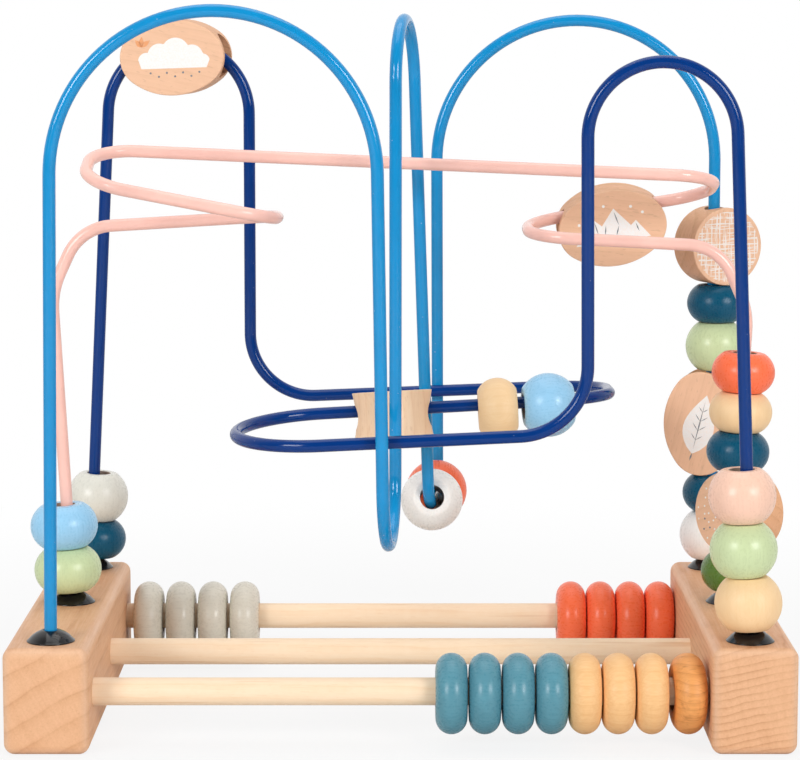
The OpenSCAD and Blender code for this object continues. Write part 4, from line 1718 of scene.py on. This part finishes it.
@dataclass
class Studio:
    """The floor, the surround, the lamps and the camera."""

    camera_at: Triple = (-0.0002, -1.1294, 0.2723)
    camera_pitch: float = 7.25
    focal_px: float = 2900.0
    image_width: float = 800.0
    sensor: float = 36.0
    clip_end: float = 30.0
    room_range: Range = (-0.6, 0.6, 0.12, 0.85)
    behind_range: Range = (0.0, 0.5)
    floor_r: float = 6.0
    floor_segments: int = 96
    floor_grey: float = 0.74
    floor_fade: Range = (0.18, 0.5, 0.84, 1.0)
    floor_scale: float = 30.0
    floor_gloss: Range = (0.3, 0.7, 0.7, 0.8)
    side_lamp: Triple = (1.6, -2.0, 1.05)
    side_lamp_size: float = 1.0
    side_lamp_power: float = 36.0
    top_lamp: Triple = (0.0, 0.1, 1.3)
    top_lamp_size: float = 0.9
    top_lamp_power: float = 4.0
    lamp_aim: Triple = (0.0, 0.0, 0.12)

    def build(self) -> None:
        """Set up all that isn't part of the object."""
        self.camera()
        self.surround()
        self.floor()
        x, y, z = self.side_lamp
        for name, at in (("left_softbox", (-x, y, z)), ("right_softbox", (x, y, z))):
            self.lamp(name, at, self.side_lamp_size, self.side_lamp_power)
        self.lamp("top_softbox", self.top_lamp, self.top_lamp_size, self.top_lamp_power)
        bpy.context.scene.view_settings.view_transform = "Standard"

    def camera(self) -> None:
        """Place the camera where the photograph was taken from."""
        data = bpy.data.cameras.new("camera")
        data.sensor_width = self.sensor
        data.sensor_fit = "HORIZONTAL"
        data.lens = self.focal_px * self.sensor / self.image_width
        data.clip_end = self.clip_end
        camera = bpy.data.objects.new("camera", data)
        camera.location = self.camera_at
        camera.rotation_euler = (math.radians(90 - self.camera_pitch), 0, 0)
        bpy.context.scene.collection.objects.link(camera)
        bpy.context.scene.camera = camera

    def surround(self) -> None:
        """Light the scene from a pale room, dimmer on the camera's side, and show it white."""
        world = bpy.data.worlds.new("pale_room")
        bpy.context.scene.world = world
        world.use_nodes = True
        graph = Graph(world.node_tree)
        background = next(n for n in world.node_tree.nodes if n.type == "BACKGROUND")
        axes = graph.add("SeparateXYZ", {0: graph.add("TexCoord").outputs["Generated"]}).outputs
        room = graph.spread(axes[1], *self.room_range)
        path = graph.add("LightPath").outputs
        mirrored = graph.math("MAXIMUM", path["Is Glossy Ray"], path["Is Transmission Ray"])
        behind = graph.times(mirrored, graph.spread(axes[1], *self.behind_range))
        seen = graph.math("MAXIMUM", path["Is Camera Ray"], behind)
        strength = graph.add("Mix", {0: seen, 2: room, 3: 1.0}, data_type="FLOAT").outputs[0]
        graph.put(background.inputs["Color"], (1, 1, 1, 1))
        graph.put(background.inputs["Strength"], strength)

    def floor(self) -> None:
        """Lay a pale floor that fades to white away from the object and keeps its shadow."""
        bm = bmesh.new()
        bmesh.ops.create_circle(
            bm, cap_ends=True, radius=self.floor_r, segments=self.floor_segments)
        mesh = bpy.data.meshes.new("pale_floor")
        bm.to_mesh(mesh)
        bm.free()
        floor = bpy.data.objects.new("pale_floor", mesh)
        bpy.context.scene.collection.objects.link(floor)
        material, graph, shader = new_material("pale_floor")
        mesh.materials.append(material)
        where = graph.add("TexCoord").outputs["Object"]
        reach = graph.add("VectorMath", {0: where}, operation="LENGTH").outputs["Value"]
        away = graph.spread(reach, *self.floor_fade)
        seen = graph.add("LightPath").outputs["Is Camera Ray"]
        grey = self.floor_grey
        graph.put(shader.inputs["Base Color"], (grey, grey, grey, 1))
        rough = graph.spread(graph.noise(where, self.floor_scale), *self.floor_gloss)
        graph.put(shader.inputs["Roughness"], rough)
        glow = graph.add("Emission", {"Color": (1, 1, 1, 1), "Strength": 1.0}).outputs[0]
        inputs = {0: graph.times(away, seen), 1: shader.outputs[0], 2: glow}
        both = graph.add("MixShader", inputs)
        output = next(n for n in graph.tree.nodes if n.type == "OUTPUT_MATERIAL")
        graph.put(output.inputs["Surface"], both.outputs[0])

    def lamp(self, name: str, at: Triple, size: float, power: float) -> None:
        """Hang a square soft lamp that looks at the object.

        Args:
            name: The lamp's name.
            at: Its place, in metres.
            size: Its side, in metres.
            power: Its power, in watts.
        """
        data = bpy.data.lights.new(name, "AREA")
        data.shape = "SQUARE"
        data.size = size
        data.energy = power
        lamp = bpy.data.objects.new(name, data)
        lamp.location = at
        aim = Vector(self.lamp_aim) - Vector(at)
        lamp.rotation_euler = aim.to_track_quat("-Z", "Y").to_euler()
        bpy.context.scene.collection.objects.link(lamp)


def main() -> None:
    """Build the dressed bead maze and its studio."""
    logging.basicConfig(level=logging.INFO, format="%(name)s: %(message)s")
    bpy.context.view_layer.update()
    Studio().build()
    light, dark, pink = light_route(), dark_route(), pink_route()
    parts = (Base(light, dark, pink), RodRings(), PostStacks(light, dark, pink),
             WireRiders(dark, pink))
    for part in parts:
        part.build()
        LOG.info("%s built", type(part).__name__)


if __name__ == "__main__":
    main()
